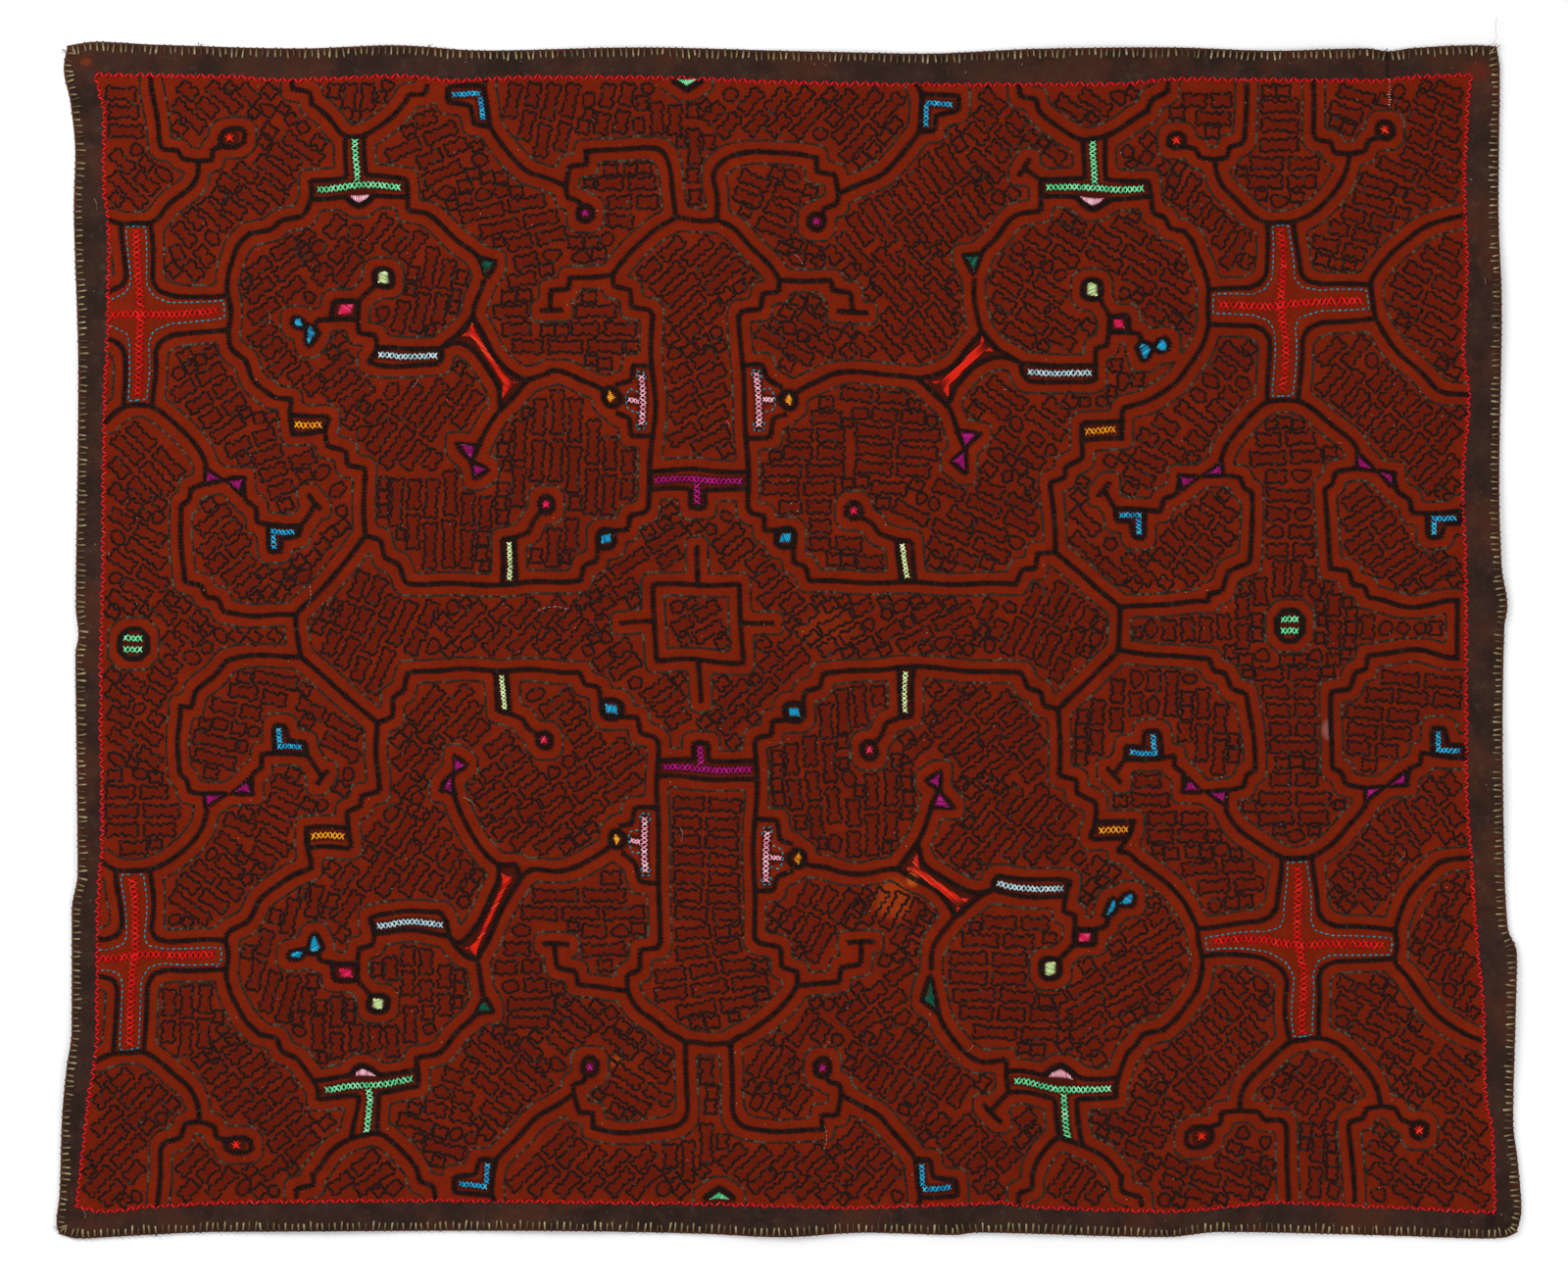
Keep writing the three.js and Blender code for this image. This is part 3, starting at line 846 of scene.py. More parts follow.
def motif_edge(length, rng):
    """Closed outline of one motif, along x about its middle."""
    half = length / 2
    if length < DOT_SHORT:
        turn = np.linspace(0, 2 * math.pi, 20, endpoint=False)
        swell = 1 + 0.13 * np.cos(rng.integers(2, 6) * turn + rng.uniform(0, 6.28))
        long = max(half, DOT_LEAST)
        return np.stack([long * np.cos(turn) * swell, DOT_HALF * np.sin(turn) * swell], -1)
    x = np.linspace(-half, half, max(5, int(length / 2.1)))
    flare = smooth((np.abs(x) - (half - FLARE_LONG)) / FLARE_RISE)
    flare *= 1 - 0.5 * smooth((np.abs(x) - half + END_ROUND) / END_ROUND)
    turn = 2 * math.pi / MOTIF_TOOTH
    phase = rng.uniform(0, 6.28, 2)
    up, down = (
        MOTIF_WAIST + MOTIF_FLARE * flare + MOTIF_TEETH * np.sin(turn * x + p) for p in phase
    )
    out, dent = half + END_OUT, half - END_DENT
    right = [(out, END_HALF), (dent, 0), (out, -END_HALF)]
    left = [(-out, -END_HALF), (-dent, 0), (-out, END_HALF)]
    return np.vstack([np.stack([x, up], -1), right, np.stack([x[::-1], -down[::-1]], -1), left])


def cut_up(span, rng):
    """Start and length of each motif along a free stretch of a row."""
    if span < MOTIF_SHORT:
        return
    usual = MOTIF_LONG * rng.uniform(0.86, 1.1)
    count = max(1, math.ceil((span + MOTIF_GAP) / (usual + MOTIF_GAP)))
    cuts = np.linspace(0, span + MOTIF_GAP, count + 1)
    cuts[1:-1] += rng.uniform(-3.5, 3.5, count - 1)
    for start, end in zip(cuts[:-1], cuts[1:]):
        length = end - start - MOTIF_GAP
        if length >= MOTIF_SHORT - 2:
            yield start, length


def filling_motifs(near_black, near_accent, label):
    """Rows of motifs in each field, as closed outlines with their middles."""
    rng = np.random.default_rng(11)
    places = grid_places()
    taken = np.zeros(label.shape, bool)
    motifs = []
    for k, field in enumerate(FILLING):
        cells = places[label == k]
        if len(cells) < FIELD_LEAST:
            continue
        along, across = both_ways(field.lie)
        run, rise = cells @ along, cells @ across
        row = rise.min() + rng.uniform(0.35, 0.65) * ROW_PITCH
        while row < rise.max():
            u = np.arange(run.min() - 4, run.max() + 4, LINE_STEP)
            good = np.ones(len(u), bool)
            for off in (-MOTIF_STRIP, 0, MOTIF_STRIP):
                p = u[:, None] * along + (row + off) * across
                cell = held(*nearest_cells(p))
                good &= (label[cell] == k) if off == 0 else (label[cell] >= 0)
                good &= ~taken[cell]
                good &= read_field(near_black, p) > FILL_CLEAR
                good &= read_field(near_accent, p) > FILL_CLEAR
            for a, b in stretches(good):
                for start, length in cut_up(u[b - 1] - u[a], rng):
                    mid = u[a] + start + length / 2
                    shape = motif_edge(length, rng)
                    tilt = rng.uniform(-0.05, 0.05)
                    turned = shape @ np.array([[math.cos(tilt), math.sin(tilt)],
                                               [-math.sin(tilt), math.cos(tilt)]])
                    outline = (mid + turned[:, :1]) * along + (row + turned[:, 1:]) * across
                    middle = (mid + np.array([-0.5, 0.5])[:, None] * length) * along + row * across
                    motifs.append({"outline": outline, "middle": middle})
                    take_ground(taken, middle)
            row += ROW_PITCH * rng.uniform(0.95, 1.06)
    return motifs


def take_ground(taken, middle):
    """Marks the grid round a motif as used."""
    count = int(np.linalg.norm(middle[1] - middle[0]) / 3) + 2
    p = middle[0] + (middle[1] - middle[0]) * np.linspace(0, 1, count)[:, None]
    reach = int(MOTIF_KEEP / GRID)
    steps = np.arange(-reach, reach + 1)
    off_x, off_y = np.meshgrid(steps, steps, indexing="ij")
    disc = np.hypot(off_x, off_y) * GRID <= MOTIF_KEEP
    for column, row in zip(*nearest_cells(p)):
        taken[held(column + off_x[disc], row + off_y[disc])] = True


def blobs_between(motifs, near_black, near_accent, label):
    """Small motifs in what is left of the fields, the roomiest places first."""
    rng = np.random.default_rng(23)
    places = grid_places()
    near_motif = nearness([at_even_steps(m["outline"], 2.0) for m in motifs])
    room = np.minimum(near_motif - BLOB_GAP, near_black - OUTLINE_GAP - BLOB_GAP)
    room = np.minimum(room, near_accent - ACCENT_CLEAR)
    room = np.minimum(room, inside_panel(places) - PANEL_CLEAR)
    room[(motif_ground(motifs) > 0.2) | (label < 0)] = 0
    reach = int(REACH / GRID)
    blobs = []
    for least in BLOB_SIZES:
        cells = np.argwhere(room >= least)
        cells = cells[np.argsort(-room[tuple(cells.T)])]
        for i, j in cells:
            if room[i, j] < least:
                continue
            half = min(room[i, j], BLOB_HALF)
            along, across = both_ways(FILLING[label[i, j]].lie)
            brick = motif_edge(BRICK_LONG, rng)
            shape = brick * (BLOB_LONG * half / BRICK_LONG, half / (MOTIF_WAIST + MOTIF_FLARE))
            at = places[i, j]
            outline = at + shape[:, :1] * along + shape[:, 1:] * across
            middle = at + np.array([[-0.35], [0.35]]) * half * along
            blobs.append({"outline": outline, "middle": middle})
            near = (slice(max(i - reach, 0), i + reach + 1), slice(max(j - reach, 0), j + reach + 1))
            away = np.linalg.norm(places[near] - at, axis=-1) - half - BLOB_GAP
            room[near] = np.minimum(room[near], away)
    return blobs


def motif_ground(motifs):
    """A field that is 1 inside the filling motifs and 0 elsewhere."""
    field = np.zeros(GRID_SHAPE)
    for m in motifs:
        ends = m["middle"]
        run = ends[1] - ends[0]
        length = np.linalg.norm(run)
        side = np.array([-run[1], run[0]]) / length
        steps = np.linspace(0, 1, max(3, int(length / 1.5)))[:, None]
        for off in np.arange(-5.5, 5.0, 2.0):
            field[held(*nearest_cells(ends[0] + run * steps + side * off))] = 1
    for axis in (0, 1, 0, 1):
        field = 0.25 * np.roll(field, 1, axis) + 0.5 * field + 0.25 * np.roll(field, -1, axis)
    return field


# Node trees


class Flow:
    """A value on its way through a node tree. Sums written with it become nodes."""

    def __init__(self, net, socket):
        self.net = net
        self.socket = socket

    def maths(self, what, first, second=0.0):
        return self.net.add("ShaderNodeMath", {"operation": what}, {0: first, 1: second})

    def __add__(self, other):
        return self.maths("ADD", self, other)

    def __sub__(self, other):
        return self.maths("SUBTRACT", self, other)

    def __rsub__(self, other):
        return self.maths("SUBTRACT", other, self)

    def __mul__(self, other):
        return self.maths("MULTIPLY", self, other)

    def __truediv__(self, other):
        return self.maths("DIVIDE", self, other)

    __radd__ = __add__
    __rmul__ = __mul__

    def sin(self):
        return self.maths("SINE", self)

    def least(self, other):
        return self.maths("MINIMUM", self, other)

    def rise(self, low, high):
        """0 below low, 1 above high, and a smooth slope between."""
        values = {0: self, 1: low, 2: high, 3: 0.0, 4: 1.0}
        return self.net.add("ShaderNodeMapRange", {"interpolation_type": "SMOOTHSTEP"}, values)

    def part(self, name):
        """Another output of the node that this value comes from."""
        return Flow(self.net, self.socket.node.outputs[name])


class Net:
    """A node tree with one way of adding nodes to it."""

    def __init__(self, tree):
        self.tree = tree

    def add(self, kind, settings=None, values=None, take=0):
        node = self.tree.nodes.new(kind)
        for key, value in (settings or {}).items():
            setattr(node, key, value)
        for key, value in (values or {}).items():
            if isinstance(value, Flow):
                self.tree.links.new(value.socket, node.inputs[key])
            else:
                node.inputs[key].default_value = value
        return Flow(self, node.outputs[take])

    def blend(self, share, one, other, how="MIX"):
        """A colour between two others."""
        settings = {"data_type": "RGBA", "blend_type": how}
        return self.add("ShaderNodeMix", settings, {0: share, 6: one, 7: other}, 2)

    def vector(self, what, first, second):
        return self.add("ShaderNodeVectorMath", {"operation": what}, {0: first, 1: second})

    def length(self, first):
        return self.add("ShaderNodeVectorMath", {"operation": "LENGTH"}, {0: first}, "Value")

    def three(self, x, y, z):
        return self.add("ShaderNodeCombineXYZ", None, {0: x, 1: y, 2: z})

    def chance(self, low, high, seed):
        """A chance number for each point or copy."""
        return self.add("FunctionNodeRandomValue", {"data_type": "FLOAT"},
                        {2: low, 3: high, 8: seed}, 1)


def colour(red, green, blue):
    """A colour as it is seen, out of 255, for use in a material."""
    def straight(c):
        c /= 255
        return c / 12.92 if c <= 0.04045 else ((c + 0.055) / 1.055) ** 2.4
    return straight(red), straight(green), straight(blue), 1.0


def new_material(name, roughness, sheen, sheen_tint=(1, 1, 1, 1)):
    material = bpy.data.materials.new(name)
    material.use_nodes = True
    shader = material.node_tree.nodes["Principled BSDF"]
    values = {"Roughness": roughness, "Sheen Weight": sheen, "Sheen Tint": sheen_tint,
              "Specular IOR Level": 0.06}
    for socket, value in values.items():
        shader.inputs[socket].default_value = value
    return material, Net(material.node_tree), shader


def dress(net, shader, tone, height, strength, deep):
    """Gives a material its colour and its small relief, deep in millimetres."""
    net.tree.links.new(tone.socket, shader.inputs["Base Color"])
    bump = net.add("ShaderNodeBump", None,
                   {"Strength": strength, "Distance": deep * MM, "Height": height}, "Normal")
    net.tree.links.new(bump.socket, shader.inputs["Normal"])


# Materials

RUST = colour(120, 31, 7)
RUST_DARK = colour(86, 20, 9)
RUST_BRIGHT = colour(146, 40, 8)
MARGIN = colour(60, 40, 33)
MARGIN_DARK = colour(40, 29, 25)
FOLD_RED = colour(92, 42, 32)
MARGIN_RED = colour(78, 43, 30)
# painted shadow and dark thread tone on the ground round the boxed coloured rows
BOX_SHADOW_AND_THREAD = colour(34, 17, 12)
MARGIN_WORN = colour(96, 76, 66)
ORANGE_DYE = colour(170, 62, 12)
# Stains and worn places: x and y on the cloth, and half the width and height
Spot = namedtuple("Spot", "x y wide high strength tone")
DYE_SPOTS = [
    Spot(108, -262, 24, 30, 0.75, ORANGE_DYE), Spot(126, -244, 9, 12, 0.7, colour(206, 96, 30)),
    Spot(-176, -430, 8, 9, 1.0, ORANGE_DYE), Spot(-717, 590, 6, 5, 0.3, ORANGE_DYE),
    Spot(40, 10, 44, 30, 0.22, ORANGE_DYE), Spot(550, -92, 7, 12, 0.25, colour(190, 150, 140)),
    Spot(703, 580, 20, 12, 0.6, colour(104, 40, 26)),
    Spot(716, -592, 9, 13, 0.7, colour(30, 20, 18)),
]
WEAVE_PITCH = 0.75    # from thread to thread of the cloth


BOX_SHADOW_FULL = 4.0      # the ground has painted shadow and dark thread tone this far round a boxed coloured row and is rust again from here
BOX_SHADOW_END = 7.0       # and is rust again from here


def cotton_material():
    """Rust panel with a dark dyed margin, on a plain hand-woven ground."""
    material, net, shader = new_material("cotton", 0.95, 0.015, colour(200, 150, 120))
    place = net.add("ShaderNodeTexCoord", take="Object")
    x = net.add("ShaderNodeSeparateXYZ", None, {0: place})
    y = x.part("Y")
    def attribute(name):
        return net.add("ShaderNodeAttribute", {"attribute_name": name}, None, "Fac")
    def cloud(scale, detail=3.0, rough=0.55):
        values = {"Vector": place, "Scale": scale, "Detail": detail, "Roughness": rough}
        return net.add("ShaderNodeTexNoise", None, values, "Fac")
    near = attribute("near_black")
    inside = attribute("in_motif")
    broad, middle, fine = cloud(5.0), cloud(28.0, 4.0), cloud(420.0, 2.0)
    # the weave, one thread over the other both ways
    pitch = 2 * math.pi / (WEAVE_PITCH * MM)
    strays = (cloud(160.0, 2.0) - 0.5) * 2.2
    weave = (x * pitch + strays).sin() * (y * pitch + strays * 0.8).sin()
    # the ground is darker inside the filling motifs, and brighter beside the black lines
    channel = near.rise(2.2, 4.5) * (1.0 - near.rise(9.5, 13.0))
    deep = inside * 0.5 + broad.rise(0.42, 0.72) * 0.2
    rust = net.blend(deep.least(1.0), RUST, RUST_DARK)
    bright = channel * 0.14 + (middle.rise(0.42, 0.72) * 0.34) * (1.0 - inside * 0.7)
    rust = net.blend(bright.least(1.0), rust, RUST_BRIGHT)
    rust = net.blend(cloud(70.0, 5.0, 0.65).rise(0.5, 0.8) * 0.3, rust, RUST_DARK)
    # painted shadow round each boxed coloured row, together with the dark tone of its black threads
    box_shadow_share = (1.0 - attribute("near_row").rise(BOX_SHADOW_FULL, BOX_SHADOW_END)) * 0.72
    rust = net.blend(box_shadow_share, rust, BOX_SHADOW_AND_THREAD)
    # the margin is mottled, and worn pale here and there
    margin = net.blend(middle.rise(0.38, 0.66) * 0.7, MARGIN, MARGIN_DARK)
    margin = net.blend(cloud(13.0, 4.0).rise(0.46, 0.64) * 0.75, margin, MARGIN_RED)
    margin = net.blend(cloud(95.0, 5.0, 0.7).rise(0.5, 0.8) * 0.38, margin, MARGIN_WORN)
    bleed = attribute("panel") + (middle - 0.5) * 0.0025 / MM
    ground = net.blend(bleed.rise(-0.6, 0.9), margin, rust)
    for spot in DYE_SPOTS:
        offset = net.vector("SUBTRACT", place, (spot.x * MM, spot.y * MM, 0.0))
        spread = net.vector("MULTIPLY", offset, (1.0 / spot.wide, 1.0 / spot.high, 0.0))
        ragged = net.length(spread) / MM + (middle - 0.5) * 1.3
        stain = (1.0 - ragged.rise(0.35, 1.0)) * spot.strength
        ground = net.blend(stain, ground, spot.tone)
    fold = 1.0 - attribute("from_edge").rise(0.8, 4.4)
    ground = net.blend(fold * cloud(60.0).rise(0.34, 0.56) * 0.85, ground, FOLD_RED)
    shade = 0.86 + 0.14 * weave + (fine - 0.5) * 0.5
    grey = net.add("ShaderNodeCombineColor", None, {0: shade, 1: shade, 2: shade})
    ground = net.blend(1.0, ground, grey, "MULTIPLY")
    dress(net, shader, ground, weave * 0.5 + fine * 0.8 + middle * 1.2, 0.5, 0.35)
    return material


def thread_material(name, main, dark, light, light_share=0.12, end_darkening=0.0):
    """A sewing thread. Its own map runs across by the stitch's chance shade and up by its length.

    The last argument is how much darker the thread gets from the middle of each stitch to its far end.
    """
    material, net, shader = new_material(name, 0.7, 0.03)
    main, dark, light = colour(*main), colour(*dark), colour(*light)
    where = net.add("ShaderNodeUVMap", {"uv_map": "thread_map"})
    chance = net.add("ShaderNodeSeparateXYZ", None, {0: where})
    along = chance.part("Y")
    twist = (along * 46.0 + chance * 300.0).sin()
    depth = (1.0 - chance.rise(0.0, 0.45)) * 0.75 + (0.5 - 0.5 * twist) * 0.25
    tone = net.blend(depth.least(1.0), main, dark)
    fleck = chance.rise(1.0 - light_share - 0.06, 1.0 - light_share + 0.02)
    tone = net.blend(fleck * (0.55 + 0.3 * twist), tone, light)
    if end_darkening:
        tone = net.blend(along.rise(0.12, 0.5) * end_darkening, tone, dark)
    dress(net, shader, tone, twist, 0.35, 0.15)
    return material


# Each thread's main, dark and light tone, the share of light flecks, and how much darker it gets towards
# each stitch's far end
THREADS = {
    "black": ((33, 20, 17), (17, 11, 10), (58, 48, 40), 0.04),
    "olive": ((52, 44, 32), (26, 20, 15), (96, 94, 76), 0.2),
    "umber": ((44, 18, 11), (26, 11, 8), (74, 62, 48), 0.04),
    "red": ((246, 22, 44), (206, 16, 34), (255, 70, 84), 0.06),
    "tan": ((146, 132, 94), (62, 46, 32), (190, 178, 134), 0.2, 0.8),
    "mint": ((112, 234, 164), (52, 156, 100), (186, 250, 212), 0.2),
    "pink": ((242, 178, 196), (200, 110, 132), (255, 222, 230), 0.2),
    "purple": ((170, 12, 118), (122, 6, 80), (206, 40, 156), 0.15),
    "pale_blue": ((186, 222, 232), (104, 140, 150), (232, 248, 250), 0.2),
    "orange": ((240, 154, 20), (176, 88, 8), (255, 196, 60), 0.2),
    "lime": ((224, 248, 176), (150, 170, 110), (250, 255, 220), 0.2),
    "scarlet": ((238, 42, 20), (176, 16, 8), (255, 92, 52), 0.15),
    "crimson": ((214, 18, 16), (160, 8, 8), (240, 50, 40), 0.2),
    "turquoise": ((18, 166, 214), (6, 96, 136), (70, 208, 242), 0.25),
    "magenta": ((236, 30, 92), (170, 10, 60), (255, 90, 140), 0.2),
    "bottle_green": ((10, 98, 76), (4, 56, 44), (40, 130, 104), 0.2),
    "teal": ((4, 146, 164), (4, 104, 122), (50, 176, 190), 0.1),
    "mending": ((206, 120, 104), (140, 50, 44), (236, 206, 190), 0.35),
    "lint": ((214, 200, 184), (150, 130, 110), (250, 246, 240), 0.4),
    "dark_tuft": ((44, 40, 36), (24, 20, 18), (90, 84, 70), 0.2),
}

# Stitches as small meshes


def new_object(name, mesh):
    """An object that is in the scene."""
    obj = bpy.data.objects.new(name, mesh)
    bpy.context.scene.collection.objects.link(obj)
    return obj


def add_map(mesh, name, places):
    layer = mesh.uv_layers.new(name=name)
    layer.data.foreach_set("uv", np.asarray(places, np.float32).ravel())


def corner_points(mesh):
    """The point that each corner of a mesh's faces is at."""
    corner = np.empty(len(mesh.loops), np.int32)
    mesh.loops.foreach_get("vertex_index", corner)
    return corner


def strand_parts(rows, sides, half_wide, high, sink):
    """Points of a bowed strand of length 1 along x, with its ends sunk into the cloth."""
    half, top, low = half_wide * MM, high * MM, -sink * MM
    points, maps = [(-0.5, 0, low)], [(0.5, 0.0)]
    for k in range(rows):
        t = (k + 1) / (rows + 1)
        swell = math.sin(math.pi * t) ** 0.45
        middle = low + (top - half * 0.55 - low) * math.sin(math.pi * t) ** 0.6
        for s in range(sides):
            a = 2 * math.pi * (s + 0.5) / sides
            y, z = half * swell * math.cos(a), middle + half * 0.6 * swell * math.sin(a)
            points.append((t - 0.5, y, z))
            maps.append((s / sides, t))
    points.append((0.5, 0, low))
    maps.append((0.5, 1.0))
    faces = []
    for s in range(sides):
        t = (s + 1) % sides
        faces.append((0, 1 + t, 1 + s))
        for k in range(rows - 1):
            a, b = 1 + k * sides, 1 + (k + 1) * sides
            faces.append((a + s, a + t, b + t, b + s))
        last = 1 + (rows - 1) * sides
        faces.append((last + s, last + t, len(points) - 1))
    return points, faces, maps


def placed_parts(parts, length, turn, shift):
    """The same strand stretched to a length in metres, turned about z and moved."""
    points, faces, maps = parts
    c, s = math.cos(turn), math.sin(turn)
    moved = []
    for x, y, z in points:
        x *= length
        moved.append((x * c - y * s + shift[0], x * s + y * c + shift[1], z + shift[2]))
    return moved, faces, maps


def joined_parts(several):
    points, faces, maps = [], [], []
    for p, f, m in several:
        base = len(points)
        points += p
        maps += m
        faces += [tuple(base + i for i in face) for face in f]
    return points, faces, maps


def prototype(name, parts):
    """A stitch to be copied; it isn't shown itself."""
    points, faces, maps = parts
    mesh = bpy.data.meshes.new(name)
    mesh.from_pydata(points, [], faces)
    add_map(mesh, "thread_map", [maps[i] for face in faces for i in face])
    mesh.update()
    mesh.shade_smooth()
    return bpy.data.objects.new(name, mesh)


def back_stitch(name, length, wide, high):
    """A short plump stitch of nine faces, pointed where it enters the cloth."""
    half, top, reach, sink = wide / 2 * MM, high * MM, length / 2 * MM, 0.2 * MM
    points, maps = [(-reach, 0, -sink)], [(0.5, 0.0)]
    for t in (0.3, 0.7):
        x = (t - 0.5) * 2 * reach
        points += [(x, -half, 0.05 * MM), (x, half, 0.05 * MM), (x, 0, top)]
        maps += [(0.0, t), (1.0, t), (0.5, t)]
    points.append((reach, 0, -sink))
    maps.append((0.5, 1.0))
    faces = [(0, 2, 1), (0, 3, 2), (0, 1, 3), (7, 4, 5), (7, 5, 6), (7, 6, 4)]
    faces += [(1, 2, 5, 4), (2, 3, 6, 5), (3, 1, 4, 6)]
    return prototype(name, (points, faces, maps))


def plait_stitch():
    """Two leaning strands, one unit of the thick plaited line."""
    arm = strand_parts(1, 4, 1.95, 1.9, 0.3)
    long, lean, aside = 5.4 * MM, math.radians(30), 1.3 * MM
    low = placed_parts(arm, long, -lean, (0, aside, 0))
    high = placed_parts(arm, long, lean, (0.8 * MM, -aside, 0.1 * MM))
    return prototype("plait_stitch", joined_parts([low, high]))


# The way of an edge stitch, in from the edge of the cloth and up from its folded rim
EDGE_RUN = [
    (9.4, -0.4), (8.2, 0.7), (5.2, 0.9), (2.4, 0.75), (0.9, -0.1), (0.15, -1.2), (0.5, -2.4),
    (1.6, -2.7),
]
EDGE_HALF = 1.2      # half width of its thread
EDGE_SIDES = 4


def edge_stitch():
    """A strand over the folded edge: x runs along the edge and +y points into the cloth."""
    last = len(EDGE_RUN) - 1
    points, faces, maps = [], [], []
    for k, (y, z) in enumerate(EDGE_RUN):
        before, after = EDGE_RUN[max(k - 1, 0)], EDGE_RUN[min(k + 1, last)]
        dy, dz = after[0] - before[0], after[1] - before[1]
        size = math.hypot(dy, dz)
        half = EDGE_HALF * (0.35 if k in (0, last) else 1.0)
        for s in range(EDGE_SIDES):
            a = 2 * math.pi * (s + 0.5) / EDGE_SIDES
            out = half * math.sin(a) * -0.8
            place = (half * math.cos(a), y - dz / size * out, z + dy / size * out)
            points.append(tuple(c * MM for c in place))
            maps.append((s / EDGE_SIDES, k / last))
    for k in range(last):
        for s in range(EDGE_SIDES):
            t = (s + 1) % EDGE_SIDES
            a, b = EDGE_SIDES * k, EDGE_SIDES * (k + 1)
            faces.append((a + s, a + t, b + t, b + s))
    first_ring = tuple(range(EDGE_SIDES))
    faces += [first_ring[::-1], tuple(EDGE_SIDES * last + s for s in first_ring)]
    return prototype("edge_stitch", (points, faces, maps))


# Geometry nodes


def sewing_tree(name, sockets):
    """A new tree, and what is given to it, by name."""
    tree = bpy.data.node_groups.new(name, "GeometryNodeTree")
    for socket, kind in sockets.items():
        tree.interface.new_socket(name=socket, in_out="INPUT", socket_type="NodeSocket" + kind)
    tree.interface.new_socket(name="Sewn", in_out="OUTPUT", socket_type="NodeSocketGeometry")
    net = Net(tree)
    start = tree.nodes.new("NodeGroupInput")
    return net, {socket: Flow(net, start.outputs[socket]) for socket in sockets}


def finish_tree(net, points, turned, size, stitch, given):
    """Sets the stitch at each point, gives it its chance shade, joins all and dyes them."""
    copied = net.add("GeometryNodeObjectInfo", None, {"Object": stitch}, "Geometry")
    instances = net.add("GeometryNodeInstanceOnPoints", None,
                        {"Points": points, "Instance": copied, "Rotation": turned, "Scale": size})
    shaded = net.add(
        "GeometryNodeStoreNamedAttribute", {"data_type": "FLOAT", "domain": "INSTANCE"},
        {"Geometry": instances, "Name": "chance", "Value": net.chance(0.0, 1.0, given["Seed"] + 7)},
    )
    real = net.add("GeometryNodeRealizeInstances", None, {"Geometry": shaded})
    dyed = net.add("GeometryNodeSetMaterial", None, {"Geometry": real, "Material": given["Thread"]})
    end = net.tree.nodes.new("NodeGroupOutput")
    net.tree.links.new(dyed.socket, end.inputs["Sewn"])
    return net.tree


def line_sewing_tree():
    """Sets a stitch at every step along drawn lines, turned along the line."""
    net, given = sewing_tree("stitches_along_lines", {
        "Lines": "Geometry", "Stitch": "Object", "Thread": "Material", "Pitch": "Float",
        "Lean": "Float", "Stray": "Float", "Spread": "Float", "Seed": "Int",
    })
    def chance(name, step):
        return net.chance(-1.0, 1.0, given["Seed"] + step) * given[name]
    curve = net.add("GeometryNodeMeshToCurve", None, {"Mesh": given["Lines"]})
    even = net.add("GeometryNodeResampleCurve", {"mode": "LENGTH"},
                   {"Curve": curve, "Length": given["Pitch"]})
    spots = net.add("GeometryNodeCurveToPoints", {"mode": "EVALUATED"}, {"Curve": even})
    aligned = net.add("FunctionNodeAlignRotationToVector", {"axis": "X", "pivot_axis": "Z"},
                      {"Vector": spots.part("Tangent")})
    swing = net.add("FunctionNodeAxisAngleToRotation", None,
                    {"Axis": (0, 0, 1), "Angle": chance("Lean", 1)})
    turned = net.add("FunctionNodeRotateRotation", {"rotation_space": "LOCAL"},
                     {"Rotation": aligned, "Rotate By": swing})
    size = net.three(chance("Spread", 2) + 1.0, chance("Spread", 3) + 1.0, 1.0)
    aside = net.three(chance("Stray", 4), chance("Stray", 5), 0.0)
    moved = net.add("GeometryNodeSetPosition", None, {"Geometry": spots, "Offset": aside})
    return finish_tree(net, moved, turned, size, given["Stitch"], given)


def stroke_sewing_tree():
    """Lays one strand along each separate stroke, stretched to its length."""
    net, given = sewing_tree("one_strand_a_stroke", {
        "Strokes": "Geometry", "Strand": "Object", "Thread": "Material", "Seed": "Int",
    })
    ends = net.add("GeometryNodeInputMeshEdgeVertices", None, None, "Position 1")
    run = net.vector("SUBTRACT", ends.part("Position 2"), ends)
    kept = net.add(
        "GeometryNodeStoreNamedAttribute", {"data_type": "FLOAT_VECTOR", "domain": "EDGE"},
        {"Geometry": given["Strokes"], "Name": "run", "Value": run},
    )
    points = net.add("GeometryNodeMeshToPoints", {"mode": "EDGES"}, {"Mesh": kept})
    course = net.add("GeometryNodeInputNamedAttribute", {"data_type": "FLOAT_VECTOR"},
                     {"Name": "run"})
    turned = net.add("FunctionNodeAlignRotationToVector", {"axis": "X", "pivot_axis": "AUTO"},
                     {"Vector": course})
    size = net.three(net.length(course), 1.0, 1.0)
    return finish_tree(net, points, turned, size, given["Strand"], given)


def set_inputs(modifier, values):
    """Sets a geometry nodes modifier's inputs by their names in the tree."""
    for item in modifier.node_group.interface.items_tree:
        if item.item_type == "SOCKET" and item.in_out == "INPUT" and item.name in values:
            modifier[item.identifier] = values[item.name]


def keep_result(obj, modifier):
    """Replaces an object's mesh by what its geometry nodes make, and takes them away."""
    bpy.context.view_layer.update()
    graph = bpy.context.evaluated_depsgraph_get()
    mesh = bpy.data.meshes.new_from_object(obj.evaluated_get(graph), depsgraph=graph)
    obj.modifiers.remove(modifier)
    obj.data = mesh
    mesh.name = obj.name


